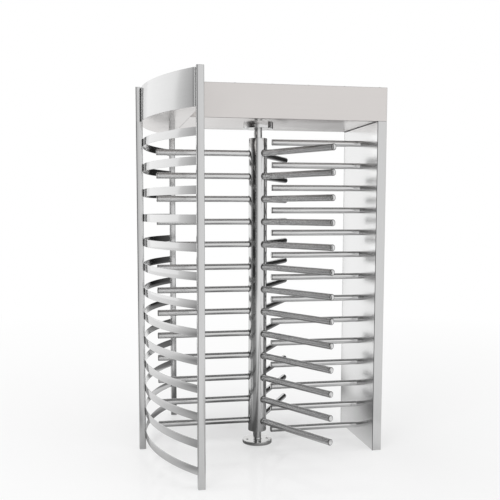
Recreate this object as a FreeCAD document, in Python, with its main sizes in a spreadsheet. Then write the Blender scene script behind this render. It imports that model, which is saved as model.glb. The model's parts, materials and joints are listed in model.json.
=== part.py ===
import FreeCAD, Part
import math
import os
import re
import Sketcher
from FreeCAD import Vector

# Full height turnstile with a three-wing rotor, a comb barrier and a curved
# cage of guard bands. Lengths are in millimetres. The origin is on the floor
# at the rotor's axis, +Z is up, +X points to the side panel and -Y to the side
# that a person enters from.

doc = FreeCAD.newDocument("full_height_turnstile")

# Driving dimensions. Each one is a size that can be set by itself.
SIZES = {
    # rotor
    "arm_pitch": 140,
    "arm_lowest": 148,
    "arm_headroom": 60,
    "arm_radius": 19,
    "arm_reach": 628,
    "wing_angle": 120,
    "column_radius": 57.15,
    "column_wall": 3,
    "column_bottom": 80,
    "column_gap": 58,
    "column_plate": 10,
    # shaft, bearings and floor flange
    "shaft_radius": 25.4,
    "shaft_seat": 22.5,
    "thread_step": 2.5,
    "stub_spigot": 15,
    "stub_shoulder": 21,
    "running_fit": 0.05,
    "turning_gap": 0.3,
    "plate_gap": 0.6,
    "race_thick": 5,
    "race_step": 0.4,
    "roller_inset": 1,
    "roller_thick": 6,
    "seat_thick": 20,
    "flange_radius": 93,
    "flange_thick": 20,
    "bolt_circle": 64,
    "bolt_count": 4,
    "anchor_hole": 8,
    # upper bearing housing
    "housing_drop": 26,
    "housing_lip": 6,
    "housing_spigot": 78,
    "spigot_gap": 0.3,
    "bearing_radius": 40,
    "bearing_height": 18,
    "ring_wall": 4.5,
    "screw_hole": 8,
    "screw_depth": 22,
    # cage
    "post_size": 40,
    "post_wall": 2,
    "post_rise": 6,
    "cap_thick": 2,
    "post_foot": 8,
    "post_setback": 461,
    "post_spread": 732,
    "side_post_reach": 729,
    "band_pitch": 149.5,
    "band_lowest": 87.5,
    "band_headroom": 60,
    "band_height": 45,
    "band_thick": 4,
    # canopy and header
    "soffit_height": 2004,
    "header_height": 198,
    "header_depth": 600,
    "header_sheet": 3,
    "fascia_step": 10,
    "fascia_thick": 2,
    "beam_width": 40,
    "beam_height": 60,
    "beam_wall": 3,
    # side panel and comb
    "panel_gap": 34,
    "panel_thick": 58,
    "panel_skin": 2,
    "upright_width": 40,
    "upright_wall": 2,
    "comb_gap": 31,
    "comb_rail_width": 50,
    "panel_foot": 10,
    "panel_anchor": 7,
    "panel_anchor_spread": 200,
    # mechanism
    "plate_thick": 10,
    "sensor_margin": 13,
    "damper_margin": 46,
    "plate_hole": 46,
    "gear_lift": 18,
    "gear_face": 16,
    "gear_module": 5,
    "gear_teeth": 36,
    "pinion_teeth": 12,
    "pressure_angle": 25,
    "tooth_gap": 0.35,
    "hub_radius": 38,
    "hub_drop": 5,
    "key_width": 12,
    "key_sink": 5,
    "key_rise": 3,
    "key_gap": 0.2,
    "key_end": 3,
    "wheel_gap": 7,
    "wheel_lift": 10,
    "wheel_thick": 10,
    "notch_count": 12,
    "notch_depth": 12,
    "notch_width": 17,
    "nut_flats": 62,
    "nut_thick": 15,
    "thread_tip": 6,
    # locks
    "pawl_back": 80,
    "pawl_lift": 19,
    "pawl_hub": 14,
    "pawl_half": 7,
    "nose_gap": 3,
    "nose_half": 5,
    "nose_shift": 3,
    "tail_length": 32,
    "tail_pin": 3,
    "tail_pin_rise": 14,
    "pivot_radius": 6,
    "pivot_collar": 11,
    "pivot_tip": 3,
    "plunger_radius": 6,
    "plunger_lift": 8,
    "plunger_length": 48,
    "plunger_gap": 0.3,
    "tongue_length": 24,
    "tongue_half": 7,
    "tongue_thick": 4,
    "slot_gap": 0.3,
    "slot_half": 4.5,
    "solenoid_length": 60,
    "solenoid_half": 18,
    "solenoid_gap": 25,
    "solenoid_bore": 45,
    "bracket_sheet": 3,
    "bracket_half": 25,
    # damper, sensor and electrical boxes
    "damper_radius": 28,
    "damper_height": 40,
    "damper_shaft": 8,
    "damper_grip": 16,
    "hole_gap": 1,
    "shelf_gap": 3,
    "shelf_thick": 6,
    "shelf_reach": 26,
    "shelf_back": 44,
    "shelf_half": 32,
    "shelf_foot": 30,
    "sensor_radius": 6,
    "sensor_length": 55,
    "sensor_gap": 2,
    "sensor_set": 38,
    "sensor_half": 14,
    "sensor_foot": 22,
    "sensor_top": 14,
    "control_gap": 30,
    "control_length": 200,
    "control_half": 110,
    "control_height": 58,
    "supply_gap": 27,
    "supply_length": 130,
    "supply_half": 60,
    "supply_height": 50,
}

# Places that follow from the driving dimensions.
LAYOUT = {
    # post and band circle: it runs through the two corner posts' centres and
    # touches the inner face of the side post
    "post_half": "post_size / 2",
    "post_inside": "post_half - post_wall",
    "post_height": "soffit_height + header_height + post_rise",
    "post_tube": "post_height - cap_thick",
    "band_reach": "side_post_reach - post_half",
    "band_sagitta": "band_reach - post_setback",
    "band_radius": "(post_spread ^ 2 + band_sagitta ^ 2) / (2 * band_sagitta)",
    "band_inside": "band_radius - band_thick",
    "band_centre": "band_radius - band_reach",
    "band_end": "post_spread - post_half",
    "band_bottom": "band_lowest - band_height / 2",
    "band_room": "soffit_height - band_headroom - band_lowest",
    "band_count": "floor(band_room / band_pitch) + 1",
    # canopy
    "fascia_radius": "band_radius + fascia_step",
    "fascia_inside": "fascia_radius - fascia_thick",
    "fascia_return": "band_end - fascia_thick",
    "fascia_root": "sqrt(fascia_radius ^ 2 - band_end ^ 2) - fascia_thick / 4",
    "header_floor": "soffit_height + header_sheet",
    "header_top": "soffit_height + header_height",
    "header_roof": "header_top - header_sheet",
    "header_half": "header_depth / 2",
    "header_inside": "header_half - header_sheet",
    "beam_inside": "header_inside - beam_width",
    "beam_top": "header_floor + beam_height",
    # side panel
    "panel_face": "arm_reach + panel_gap",
    "panel_frame": "panel_face + panel_skin",
    "panel_outside": "panel_face + panel_thick",
    "panel_cover": "panel_outside - panel_skin",
    "panel_middle": "panel_face + panel_thick / 2",
    "header_end": "panel_outside - header_sheet",
    "upright_outside": "header_half - panel_skin",
    "upright_inside": "upright_outside - upright_width",
    "upright_length": "soffit_height - panel_foot",
    "top_rail": "soffit_height - upright_width",
    "comb_rail_half": "comb_rail_width / 2",
    "comb_rail_length": "top_rail - panel_foot",
    # as many arms as the column takes, and one more comb bar, halfway between
    "arm_room": "column_top - arm_headroom - arm_lowest",
    "arm_count": "floor(arm_room / arm_pitch) + 1",
    "comb_count": "arm_count + 1",
    "comb_lowest": "arm_lowest - arm_pitch / 2",
    "comb_tip": "column_radius + comb_gap",
    "comb_length": "panel_face - comb_tip",
    # column
    "column_inside": "column_radius - column_wall",
    "column_top": "housing_bottom - column_gap",
    "column_length": "column_top - column_bottom",
    "top_plate": "column_top - column_plate",
    "plate_bore": "shaft_radius + plate_gap",
    # floor bearing
    "stub_top": "column_bottom + stub_shoulder",
    "roller_bottom": "stub_top + race_thick",
    "turning_race": "roller_bottom + roller_thick",
    "seat_bottom": "turning_race + race_thick",
    "seat_top": "seat_bottom + seat_thick",
    "seat_bore": "stub_spigot + running_fit",
    "race_radius": "shaft_radius - race_step",
    "roller_outside": "race_radius - roller_inset",
    # upper bearing
    "housing_bottom": "soffit_height - housing_drop",
    "bearing_bottom": "housing_bottom + housing_lip",
    "bearing_top": "bearing_bottom + bearing_height",
    "inner_ring": "shaft_seat + ring_wall",
    "outer_ring_bore": "inner_ring + turning_gap",
    "lip_bore": "shaft_radius + plate_gap",
    "spigot_radius": "housing_spigot - spigot_gap",
    "plate_top": "header_floor + plate_thick",
    # gear, index wheel and nut on the shaft
    "gear_bottom": "plate_top + gear_lift",
    "gear_top": "gear_bottom + gear_face",
    "hub_bottom": "gear_bottom - hub_drop",
    "wheel_bottom": "gear_top + wheel_lift",
    "wheel_top": "wheel_bottom + wheel_thick",
    "shaft_thread": "shaft_seat - thread_step",
    "nut_top": "wheel_top + nut_thick",
    "shaft_top": "nut_top + thread_tip",
    "key_bottom": "hub_bottom + key_end",
    "key_inside": "shaft_seat - key_sink",
    "key_outside": "shaft_seat + key_rise",
    "keyway_outside": "key_outside + key_gap",
    "key_half": "key_width / 2",
    "gear_distance": "gear_module * (gear_teeth + pinion_teeth) / 2",
    "wheel_radius": "gear_distance - damper_radius - wheel_gap",
    "notch_half": "notch_width / 2",
    "notch_floor": "wheel_radius - notch_depth",
    "notch_outside": "wheel_radius + notch_depth",
    # locks: the pawl lies beside the wheel, square to a notch
    "nose_tip": "wheel_radius + nose_gap",
    "pawl_y": "nose_tip + pawl_lift - nose_gap",
    "tail_y": "pawl_y + tail_length",
    "pivot_shelf": "wheel_bottom - turning_gap",
    "pivot_bore": "pivot_radius + running_fit",
    "pivot_top": "wheel_top + pivot_tip",
    "plunger_z": "wheel_top + plunger_lift",
    "tongue_bottom": "plunger_z - tongue_thick / 2",
    "slot_x": "tail_pin + slot_gap",
    "tongue_right": "tongue_length / 2",
    "solenoid_bottom": "plunger_z - solenoid_half",
    "solenoid_top": "plunger_z + solenoid_half",
    "plunger_bore": "plunger_radius + plunger_gap",
    # damper and sensor
    "shelf_bottom": "gear_top + shelf_gap",
    "shelf_top": "shelf_bottom + shelf_thick",
    "foot_top": "plate_top + shelf_thick",
    "shelf_end": "gear_distance + shelf_back",
    "shelf_foot_end": "shelf_end + shelf_foot",
    "damper_bore": "damper_shaft + running_fit",
    "damper_hole": "damper_shaft + hole_gap",
    "grip_top": "shelf_top + damper_grip",
    "sensor_z": "wheel_bottom + wheel_thick / 2",
    "sensor_tip": "wheel_radius + sensor_gap",
    "sensor_back": "sensor_tip + sensor_set",
    "sensor_bore": "sensor_radius + plunger_gap",
    "sensor_foot_end": "sensor_back + sensor_foot",
    "sensor_sheet_top": "plate_top + bracket_sheet",
    "plate_left": "sensor_foot_end + sensor_margin",
    "plate_right": "shelf_foot_end + damper_margin",
    "supply_start": "header_end - supply_gap - supply_length",
    "control_start": "supply_start - control_gap - control_length",
}


def sheet_words(text, own=()):
    """Put the sheet's name before each size in a formula written in words."""
    def named(match):
        word = match.group(0)
        if word in own:
            return word
        if word in SIZES:
            return "sizes." + word
        if word in LAYOUT:
            return "layout." + word
        return word
    return re.sub(r"[a-z][a-z_]*", named, text)


def make_sheet(name, rows):
    """A spreadsheet with one named size to a row."""
    sheet = doc.addObject("Spreadsheet::Sheet", name)
    for row, (alias, content) in enumerate(rows.items(), start=1):
        sheet.set(f"A{row}", alias)
        sheet.set(f"B{row}", content)
        sheet.setAlias(f"B{row}", alias)
    return sheet


sizes = make_sheet("sizes", {alias: str(number) for alias, number in SIZES.items()})
layout = make_sheet(
    "layout", {alias: "=" + sheet_words(text, LAYOUT) for alias, text in LAYOUT.items()}
)
doc.recompute()


def read(alias):
    """The present value of a size or of a place that follows from it."""
    sheet = sizes if alias in SIZES else layout
    return float(sheet.get(alias))


def bind(feature, field, words):
    """Tie a property to the sheets."""
    feature.setExpression(field, sheet_words(words))


def total(words):
    """The value of a sum of sizes such as '- post_setback - post_half'."""
    amount = 0.0
    sign = 1
    for word in words.split():
        if word in "+-":
            sign = -1 if word == "-" else 1
            continue
        amount += sign * (read(word) if word in SIZES or word in LAYOUT else float(word))
        sign = 1
    return amount


# Bodies, planes and sketches

pieces = []


def keep(piece, label):
    """Name a finished sub-part and put it on the list that is exported."""
    piece.Label = label
    pieces.append(piece)
    return piece


def new_body(label, many=False):
    """A body for one sub-part. many is for a group of separate solids."""
    body = doc.addObject("PartDesign::Body", label)
    body.AllowCompound = many
    return keep(body, label)


def origin_part(body, role):
    """One of the body's own origin planes or axes."""
    return next(part for part in body.Origin.OriginFeatures if part.Role == role)


def new_sketch(body, name, role, lift="0"):
    """A sketch on an origin plane, moved along the plane's normal by lift."""
    sketch = body.newObject("Sketcher::SketchObject", name)
    sketch.AttachmentSupport = (origin_part(body, role), [""])
    sketch.MapMode = "FlatFace"
    if lift != "0":
        bind(sketch, "AttachmentOffset.Base.z", lift)
    return sketch


def fix_point(sketch, line, end, across, up):
    """Hold a point of the sketch at two sums of sizes from the origin."""
    for kind, words, axis in (("DistanceX", across, -2), ("DistanceY", up, -1)):
        if words == "0":
            sketch.addConstraint(Sketcher.Constraint("PointOnObject", line, end, axis))
            continue
        row = sketch.addConstraint(
            Sketcher.Constraint(kind, -1, 1, line, end, total(words))
        )
        bind(sketch, f"Constraints[{row}]", words)


def add_outline(sketch, corners):
    """A closed outline of straight lines through corners given in words."""
    places = [Vector(total(across), total(up), 0) for across, up in corners]
    first = sketch.GeometryCount
    last = first + len(corners) - 1
    for row, (across, up) in enumerate(corners):
        start = places[row]
        end = places[(row + 1) % len(places)]
        sketch.addGeometry(Part.LineSegment(start, end), False)
    for row, (across, up) in enumerate(corners):
        line = first + row
        following = first if line == last else line + 1
        sketch.addConstraint(Sketcher.Constraint("Coincident", line, 2, following, 1))
        fix_point(sketch, line, 1, across, up)


def add_rectangle(sketch, left, low, right, high):
    """A rectangle between two corners."""
    add_outline(sketch, [(left, low), (right, low), (right, high), (left, high)])


def add_circle(sketch, radius, across="0", up="0"):
    """A circle whose centre is held from the origin."""
    centre = Vector(total(across), total(up), 0)
    line = sketch.addGeometry(Part.Circle(centre, Vector(0, 0, 1), total(radius)), False)
    row = sketch.addConstraint(Sketcher.Constraint("Radius", line, total(radius)))
    bind(sketch, f"Constraints[{row}]", radius)
    fix_point(sketch, line, 3, across, up)


def add_cage_arc(sketch, radius, span):
    """An arc about the cage's centre, bulging to -X and ending at Y = span and -span."""
    size = total(radius)
    centre = Vector(read("band_centre"), 0, 0)
    half = math.asin(total(span) / size)
    circle = Part.Circle(centre, Vector(0, 0, 1), size)
    arc = Part.ArcOfCircle(circle, math.pi - half, math.pi + half)
    line = sketch.addGeometry(arc, False)
    row = sketch.addConstraint(Sketcher.Constraint("Radius", line, size))
    bind(sketch, f"Constraints[{row}]", radius)
    fix_point(sketch, line, 3, "band_centre", "0")
    for end, sign in ((1, 1), (2, -1)):
        row = sketch.addConstraint(
            Sketcher.Constraint("DistanceY", -1, 1, line, end, sign * total(span))
        )
        bind(sketch, f"Constraints[{row}]", span if sign == 1 else f"-({span})")
    return line


def add_line(sketch, start, end):
    """A straight line between a point of one line and a point of another."""
    places = [sketch.getPoint(line, tip) for line, tip in (start, end)]
    line = sketch.addGeometry(Part.LineSegment(*places), False)
    sketch.addConstraint(Sketcher.Constraint("Coincident", line, 1, *start))
    sketch.addConstraint(Sketcher.Constraint("Coincident", line, 2, *end))
    return line


# Features

def add_pad(body, sketch, length, middle=False):
    """Raise a sketch along its normal, or to both sides of its plane."""
    pad = body.newObject("PartDesign::Pad", sketch.Name + "_pad")
    pad.Profile = sketch
    bind(pad, "Length", length)
    if middle:
        pad.SideType = "Symmetric"
    doc.recompute()
    return pad


def add_pocket(body, sketch, length, along=True):
    """Cut a sketch along its normal, or against it, and check that it cuts."""
    before = body.Shape.Volume
    pocket = body.newObject("PartDesign::Pocket", sketch.Name + "_pocket")
    pocket.Profile = sketch
    pocket.Reversed = along
    bind(pocket, "Length", length)
    doc.recompute()
    if not body.Shape.Volume < before:
        raise RuntimeError(f"{pocket.Name} in {body.Label} cuts nothing")
    return pocket


def add_row(body, features, count, spacing):
    """Repeat features up the body's Z axis."""
    row = body.newObject("PartDesign::LinearPattern", body.Name + "_row")
    row.Originals = features
    row.Direction = (origin_part(body, "Z_Axis"), [""])
    row.Mode = "Spacing"
    bind(row, "Offset", spacing)
    bind(row, "Occurrences", count)
    body.Tip = row
    doc.recompute()
    return row


def add_ring(body, features, count):
    """Repeat features evenly about the body's Z axis."""
    ring = body.newObject("PartDesign::PolarPattern", features[-1].Name + "_ring")
    ring.Originals = features
    ring.Axis = (origin_part(body, "Z_Axis"), [""])
    ring.Angle = 360
    bind(ring, "Occurrences", count)
    body.Tip = ring
    doc.recompute()
    return ring


def extruded(label, role, lift, length, *rectangles, middle=False):
    """A body that is one raised sketch of rectangles, the inner ones being holes."""
    body = new_body(label)
    sketch = new_sketch(body, label + "_outline", role, lift)
    for rectangle in rectangles:
        add_rectangle(sketch, *rectangle)
    add_pad(body, sketch, length, middle)
    return body


def turned(label, profile):
    """A body turned about the Z axis from a profile of radius and height."""
    body = new_body(label)
    sketch = new_sketch(body, label + "_profile", "XZ_Plane")
    add_outline(sketch, profile)
    turn = body.newObject("PartDesign::Revolution", label + "_turn")
    turn.Profile = sketch
    turn.ReferenceAxis = (sketch, ["V_Axis"])
    turn.Angle = 360
    doc.recompute()
    return body


def ring_profile(inside, outside, low, high):
    """The section of a plain ring."""
    return [(inside, low), (outside, low), (outside, high), (inside, high)]


def block(label, corner, length, width, height):
    """A plain block whose low corner and sides are given in words."""
    box = doc.addObject("Part::Box", label)
    for field, words in zip(("Length", "Width", "Height"), (length, width, height)):
        bind(box, field, words)
    for axis, words in zip("xyz", corner):
        bind(box, f"Placement.Base.{axis}", words)
    return keep(box, label)


def mirror(label, piece):
    """A mirror image on the other side of the XZ plane."""
    twin = doc.addObject("Part::Mirroring", label)
    twin.Source = piece
    twin.Normal = Vector(0, 1, 0)
    twin.Base = Vector(0, 0, 0)
    return twin


def mirrored(label, piece):
    """The same sub-part for the exit side."""
    return keep(mirror(label, piece), label)


def pair(label, piece):
    """Two equal pieces, one to each side of the XZ plane, as one sub-part."""
    pieces.remove(piece)
    both = doc.addObject("Part::Compound", label)
    both.Links = [piece, mirror(label + "_rear", piece)]
    return keep(both, label)


# Posts and their caps and feet

POSTS = {
    "front_post": ("- post_setback", "- post_spread"),
    "rear_post": ("- post_setback", "post_spread"),
    "side_post": ("- side_post_reach", "0"),
}


def square_about(centre, half):
    """A square's two corners about a centre."""
    across, up = ("" if word == "0" else word + " " for word in centre)
    return (f"{across}- {half}", f"{up}- {half}", f"{across}+ {half}", f"{up}+ {half}")


def notch_for_fascia(body, bottom):
    """Cut the side post's inner face back to the fascia, from bottom up."""
    sketch = new_sketch(body, body.Name + "_notch", "XY_Plane", bottom)
    corner = "- band_reach - fascia_step"
    add_rectangle(sketch, corner, "- post_half", "- band_reach", "post_half")
    add_pocket(body, sketch, "header_height + post_rise")


def make_posts():
    for label, centre in POSTS.items():
        body = extruded(
            label,
            "XY_Plane",
            "0",
            "post_tube",
            square_about(centre, "post_half"),
            square_about(centre, "post_inside"),
        )
        if label == "side_post":
            notch_for_fascia(body, "soffit_height")


def make_post_ends():
    caps = new_body("post_caps", many=True)
    outline = new_sketch(caps, "cap_outline", "XY_Plane", "post_tube")
    for centre in POSTS.values():
        add_rectangle(outline, *square_about(centre, "post_half"))
    add_pad(caps, outline, "cap_thick")
    notch_for_fascia(caps, "post_tube")
    feet = new_body("post_feet", many=True)
    outline = new_sketch(feet, "foot_outline", "XY_Plane")
    for centre in POSTS.values():
        add_rectangle(outline, *square_about(centre, "post_inside"))
    add_pad(feet, outline, "post_foot")


# Curved guard bands, canopy fascia and the plates that close the canopy

def add_curved_strip(sketch, outside, inside, span):
    """Two arcs about the cage's centre, closed by straight ends."""
    outer = add_cage_arc(sketch, outside, span)
    inner = add_cage_arc(sketch, inside, span)
    add_line(sketch, (outer, 1), (inner, 1))
    add_line(sketch, (outer, 2), (inner, 2))


def make_guard_bands():
    body = new_body("guard_bands", many=True)
    sketch = new_sketch(body, "band_outline", "XY_Plane", "band_bottom")
    add_curved_strip(sketch, "band_radius", "band_inside", "band_end")
    pad = add_pad(body, sketch, "band_height")
    add_row(body, [pad], "band_count", "band_pitch")


def make_fascia():
    body = new_body("canopy_fascia")
    sketch = new_sketch(body, "fascia_outline", "XY_Plane", "soffit_height")
    add_curved_strip(sketch, "fascia_radius", "fascia_inside", "band_end")
    add_pad(body, sketch, "header_height")
    for name, low, high in (
        ("front_return", "- band_end", "- fascia_return"),
        ("rear_return", "fascia_return", "band_end"),
    ):
        sketch = new_sketch(body, name, "XY_Plane", "soffit_height")
        add_rectangle(sketch, "band_centre - fascia_root", low, "- post_setback", high)
        add_pad(body, sketch, "header_height")


def make_segment_plate(label, bottom):
    """A plate inside the fascia, straight along the posts' line."""
    body = new_body(label)
    sketch = new_sketch(body, label + "_outline", "XY_Plane", bottom)
    arc = add_cage_arc(sketch, "fascia_inside", "fascia_return")
    corners = []
    for end, side in ((1, "fascia_return"), (2, "- fascia_return")):
        tip = sketch.getPoint(arc, end)
        corner = Vector(-read("post_setback"), tip.y, 0)
        line = sketch.addGeometry(Part.LineSegment(tip, corner), False)
        sketch.addConstraint(Sketcher.Constraint("Coincident", line, 1, arc, end))
        fix_point(sketch, line, 2, "- post_setback", side)
        corners.append((line, 2))
    add_line(sketch, corners[0], corners[1])
    add_pad(body, sketch, "header_sheet")


def make_canopy():
    make_fascia()
    make_segment_plate("canopy_soffit", "soffit_height")
    make_segment_plate("canopy_roof", "header_roof")
    block(
        "canopy_bulkhead",
        ("-post_setback - header_sheet", "-fascia_return", "header_floor"),
        "header_sheet",
        "2 * fascia_return",
        "header_roof - header_floor",
    )


# Header: an open-topped sheet box between the canopy and the side panel

def make_header():
    shell = extruded(
        "header_shell",
        "XY_Plane",
        "soffit_height",
        "header_roof - soffit_height",
        ("- post_setback", "- header_half", "panel_outside", "header_half"),
    )
    room = new_sketch(shell, "header_room", "XY_Plane", "header_floor")
    add_rectangle(room, "- post_setback", "- header_inside", "header_end", "header_inside")
    add_pocket(shell, room, "header_roof - header_floor")
    hole = new_sketch(shell, "housing_hole", "XY_Plane", "soffit_height")
    add_circle(hole, "housing_spigot")
    add_pocket(shell, hole, "header_sheet")
    block(
        "header_lid",
        ("-post_setback", "-header_half", "header_roof"),
        "post_setback + panel_outside",
        "header_depth",
        "header_sheet",
    )
    beam = extruded(
        "header_beam",
        "YZ_Plane",
        "-post_setback",
        "post_setback + header_end",
        ("- header_inside", "header_floor", "- beam_inside", "beam_top"),
        (
            "- header_inside + beam_wall",
            "header_floor + beam_wall",
            "- beam_inside - beam_wall",
            "beam_top - beam_wall",
        ),
    )
    pair("header_beams", beam)


# Side panel: a tube frame between a polished skin and a folded cover

def make_side_panel():
    block(
        "side_panel_skin",
        ("panel_face", "-header_half", "0"),
        "panel_skin",
        "header_depth",
        "soffit_height",
    )
    cover = extruded(
        "side_panel_cover",
        "XY_Plane",
        "0",
        "soffit_height",
        ("panel_frame", "- header_half", "panel_outside", "header_half"),
    )
    room = new_sketch(cover, "cover_room", "XY_Plane")
    add_rectangle(room, "panel_frame", "- upright_outside", "panel_cover", "upright_outside")
    add_pocket(cover, room, "soffit_height")
    uprights = new_body("side_panel_uprights", many=True)
    sketch = new_sketch(uprights, "upright_outline", "XY_Plane", "panel_foot")
    for low, high in (
        ("- upright_outside", "- upright_inside"),
        ("upright_inside", "upright_outside"),
    ):
        add_rectangle(sketch, "panel_frame", low, "panel_cover", high)
        add_rectangle(
            sketch,
            "panel_frame + upright_wall",
            low + " + upright_wall",
            "panel_cover - upright_wall",
            high + " - upright_wall",
        )
    add_pad(uprights, sketch, "upright_length")
    extruded(
        "side_panel_top_rail",
        "XZ_Plane",
        "0",
        "2 * upright_inside",
        ("panel_frame", "top_rail", "panel_cover", "soffit_height"),
        (
            "panel_frame + upright_wall",
            "top_rail + upright_wall",
            "panel_cover - upright_wall",
            "soffit_height - upright_wall",
        ),
        middle=True,
    )
    foot = extruded(
        "side_panel_foot",
        "XY_Plane",
        "0",
        "panel_foot",
        ("panel_frame", "- upright_outside", "panel_cover", "upright_outside"),
    )
    holes = new_sketch(foot, "anchor_holes", "XY_Plane")
    for side in ("- panel_anchor_spread", "panel_anchor_spread"):
        add_circle(holes, "panel_anchor", "panel_middle", side)
    add_pocket(foot, holes, "panel_foot")


def make_comb():
    extruded(
        "comb_rail",
        "XY_Plane",
        "panel_foot",
        "comb_rail_length",
        ("panel_frame", "- comb_rail_half", "panel_cover", "comb_rail_half"),
        (
            "panel_frame + beam_wall",
            "- comb_rail_half + beam_wall",
            "panel_cover - beam_wall",
            "comb_rail_half - beam_wall",
        ),
    )
    bars = new_body("comb_bars", many=True)
    section = new_sketch(bars, "bar_section", "YZ_Plane", "comb_tip")
    add_circle(section, "arm_radius", "0", "comb_lowest")
    pad = add_pad(bars, section, "comb_length")
    add_row(bars, [pad], "comb_count", "arm_pitch")


# Rotor: a tube with three wings of arms, coped onto it and welded

def make_wing(label, turn):
    body = new_body(label, many=True)
    section = new_sketch(body, label + "_section", "YZ_Plane")
    add_circle(section, "arm_radius", "0", "arm_lowest")
    pad = add_pad(body, section, "arm_reach")
    add_row(body, [pad], "arm_count", "arm_pitch")
    cope = new_sketch(body, label + "_cope", "XY_Plane", "column_bottom")
    add_circle(cope, "column_radius")
    add_pocket(body, cope, "column_length")
    body.Placement = FreeCAD.Placement(Vector(), FreeCAD.Rotation(Vector(0, 0, 1), 1))
    bind(body, "Placement.Rotation.Angle", turn)


def make_rotor():
    column = new_body("rotor_column")
    section = new_sketch(column, "column_section", "XY_Plane", "column_bottom")
    add_circle(section, "column_radius")
    add_circle(section, "column_inside")
    add_pad(column, section, "column_length")
    turned(
        "column_top_plate",
        ring_profile("shaft_radius", "column_inside", "top_plate", "column_top"),
    )
    for label, turn in (
        ("wing_left_arms", "1.5 * wing_angle"),
        ("wing_front_arms", "2.5 * wing_angle"),
        ("wing_rear_arms", "0.5 * wing_angle"),
    ):
        make_wing(label, turn)


# Floor flange with its fixed stub, and the bearing that carries the rotor

def cut_bolt_holes(body, name, bottom, radius, depth):
    """A ring of holes on the bolt circle, cut upwards from bottom."""
    sketch = new_sketch(body, name, "XY_Plane", bottom)
    add_circle(sketch, radius, "bolt_circle", "0")
    pocket = add_pocket(body, sketch, depth)
    add_ring(body, [pocket], "bolt_count")


def make_floor_bearing():
    flange = turned(
        "floor_flange", ring_profile("shaft_radius", "flange_radius", "0", "flange_thick")
    )
    cut_bolt_holes(flange, "anchor_hole_outline", "0", "anchor_hole", "flange_thick")
    turned(
        "floor_stub",
        [
            ("0", "0"),
            ("shaft_radius", "0"),
            ("shaft_radius", "stub_top"),
            ("stub_spigot", "stub_top"),
            ("stub_spigot", "seat_top"),
            ("0", "seat_top"),
        ],
    )
    turned(
        "thrust_race_fixed",
        ring_profile("stub_spigot", "race_radius", "stub_top", "roller_bottom"),
    )
    turned(
        "thrust_rollers",
        ring_profile("seat_bore", "roller_outside", "roller_bottom", "turning_race"),
    )
    turned(
        "thrust_race_turning",
        ring_profile("seat_bore", "race_radius", "turning_race", "seat_bottom"),
    )
    turned(
        "column_bearing_hub",
        [
            ("plate_bore", "column_bottom"),
            ("column_inside", "column_bottom"),
            ("column_inside", "seat_top"),
            ("seat_bore", "seat_top"),
            ("seat_bore", "seat_bottom"),
            ("plate_bore", "seat_bottom"),
        ],
    )


# Upper bearing housing under the header

def make_upper_bearing():
    housing = turned(
        "upper_housing",
        [
            ("lip_bore", "housing_bottom"),
            ("flange_radius", "housing_bottom"),
            ("flange_radius", "soffit_height"),
            ("spigot_radius", "soffit_height"),
            ("spigot_radius", "header_floor"),
            ("bearing_radius", "header_floor"),
            ("bearing_radius", "bearing_bottom"),
            ("lip_bore", "bearing_bottom"),
        ],
    )
    cut_bolt_holes(housing, "screw_holes", "housing_bottom", "screw_hole", "screw_depth")
    turned(
        "upper_bearing_outer_ring",
        ring_profile("outer_ring_bore", "bearing_radius", "bearing_bottom", "bearing_top"),
    )
    turned(
        "upper_bearing_inner_ring",
        ring_profile("shaft_seat", "inner_ring", "bearing_bottom", "bearing_top"),
    )


# Mechanism plate, shaft, key, nut and spacer

def make_mechanism_plate():
    plate = extruded(
        "mechanism_plate",
        "XY_Plane",
        "header_floor",
        "plate_thick",
        ("- plate_left", "- beam_inside", "plate_right", "beam_inside"),
    )
    hole = new_sketch(plate, "shaft_hole", "XY_Plane", "header_floor")
    add_circle(hole, "plate_hole")
    add_pocket(plate, hole, "plate_thick")


def make_shaft():
    shaft = turned(
        "upper_shaft",
        [
            ("0", "top_plate"),
            ("shaft_radius", "top_plate"),
            ("shaft_radius", "bearing_bottom"),
            ("shaft_seat", "bearing_bottom"),
            ("shaft_seat", "wheel_top"),
            ("shaft_thread", "wheel_top"),
            ("shaft_thread", "shaft_top"),
            ("0", "shaft_top"),
        ],
    )
    keyway = new_sketch(shaft, "shaft_keyway", "XY_Plane", "key_bottom")
    add_rectangle(keyway, "key_inside", "- key_half", "key_outside", "key_half")
    add_pocket(shaft, keyway, "wheel_top - key_bottom")
    block(
        "shaft_key",
        ("key_inside", "-key_half", "key_bottom"),
        "key_outside - key_inside",
        "key_width",
        "wheel_top - key_bottom",
    )
    turned(
        "shaft_spacer",
        ring_profile("shaft_seat", "inner_ring", "bearing_top", "hub_bottom"),
    )
    nut = doc.addObject("Part::Prism", "nut_blank")
    nut.Polygon = 6
    bind(nut, "Circumradius", "nut_flats / sqrt(3)")
    bind(nut, "Height", "nut_thick")
    bind(nut, "Placement.Base.z", "wheel_top")
    bore = doc.addObject("Part::Cylinder", "nut_bore")
    bind(bore, "Radius", "shaft_thread")
    bind(bore, "Height", "nut_thick")
    bind(bore, "Placement.Base.z", "wheel_top")
    cut = doc.addObject("Part::Cut", "nut_cut")
    cut.Base = nut
    cut.Tool = bore
    keep(cut, "shaft_nut")


# Spur gears: the big one on the rotor's shaft turns the damper's pinion

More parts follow.
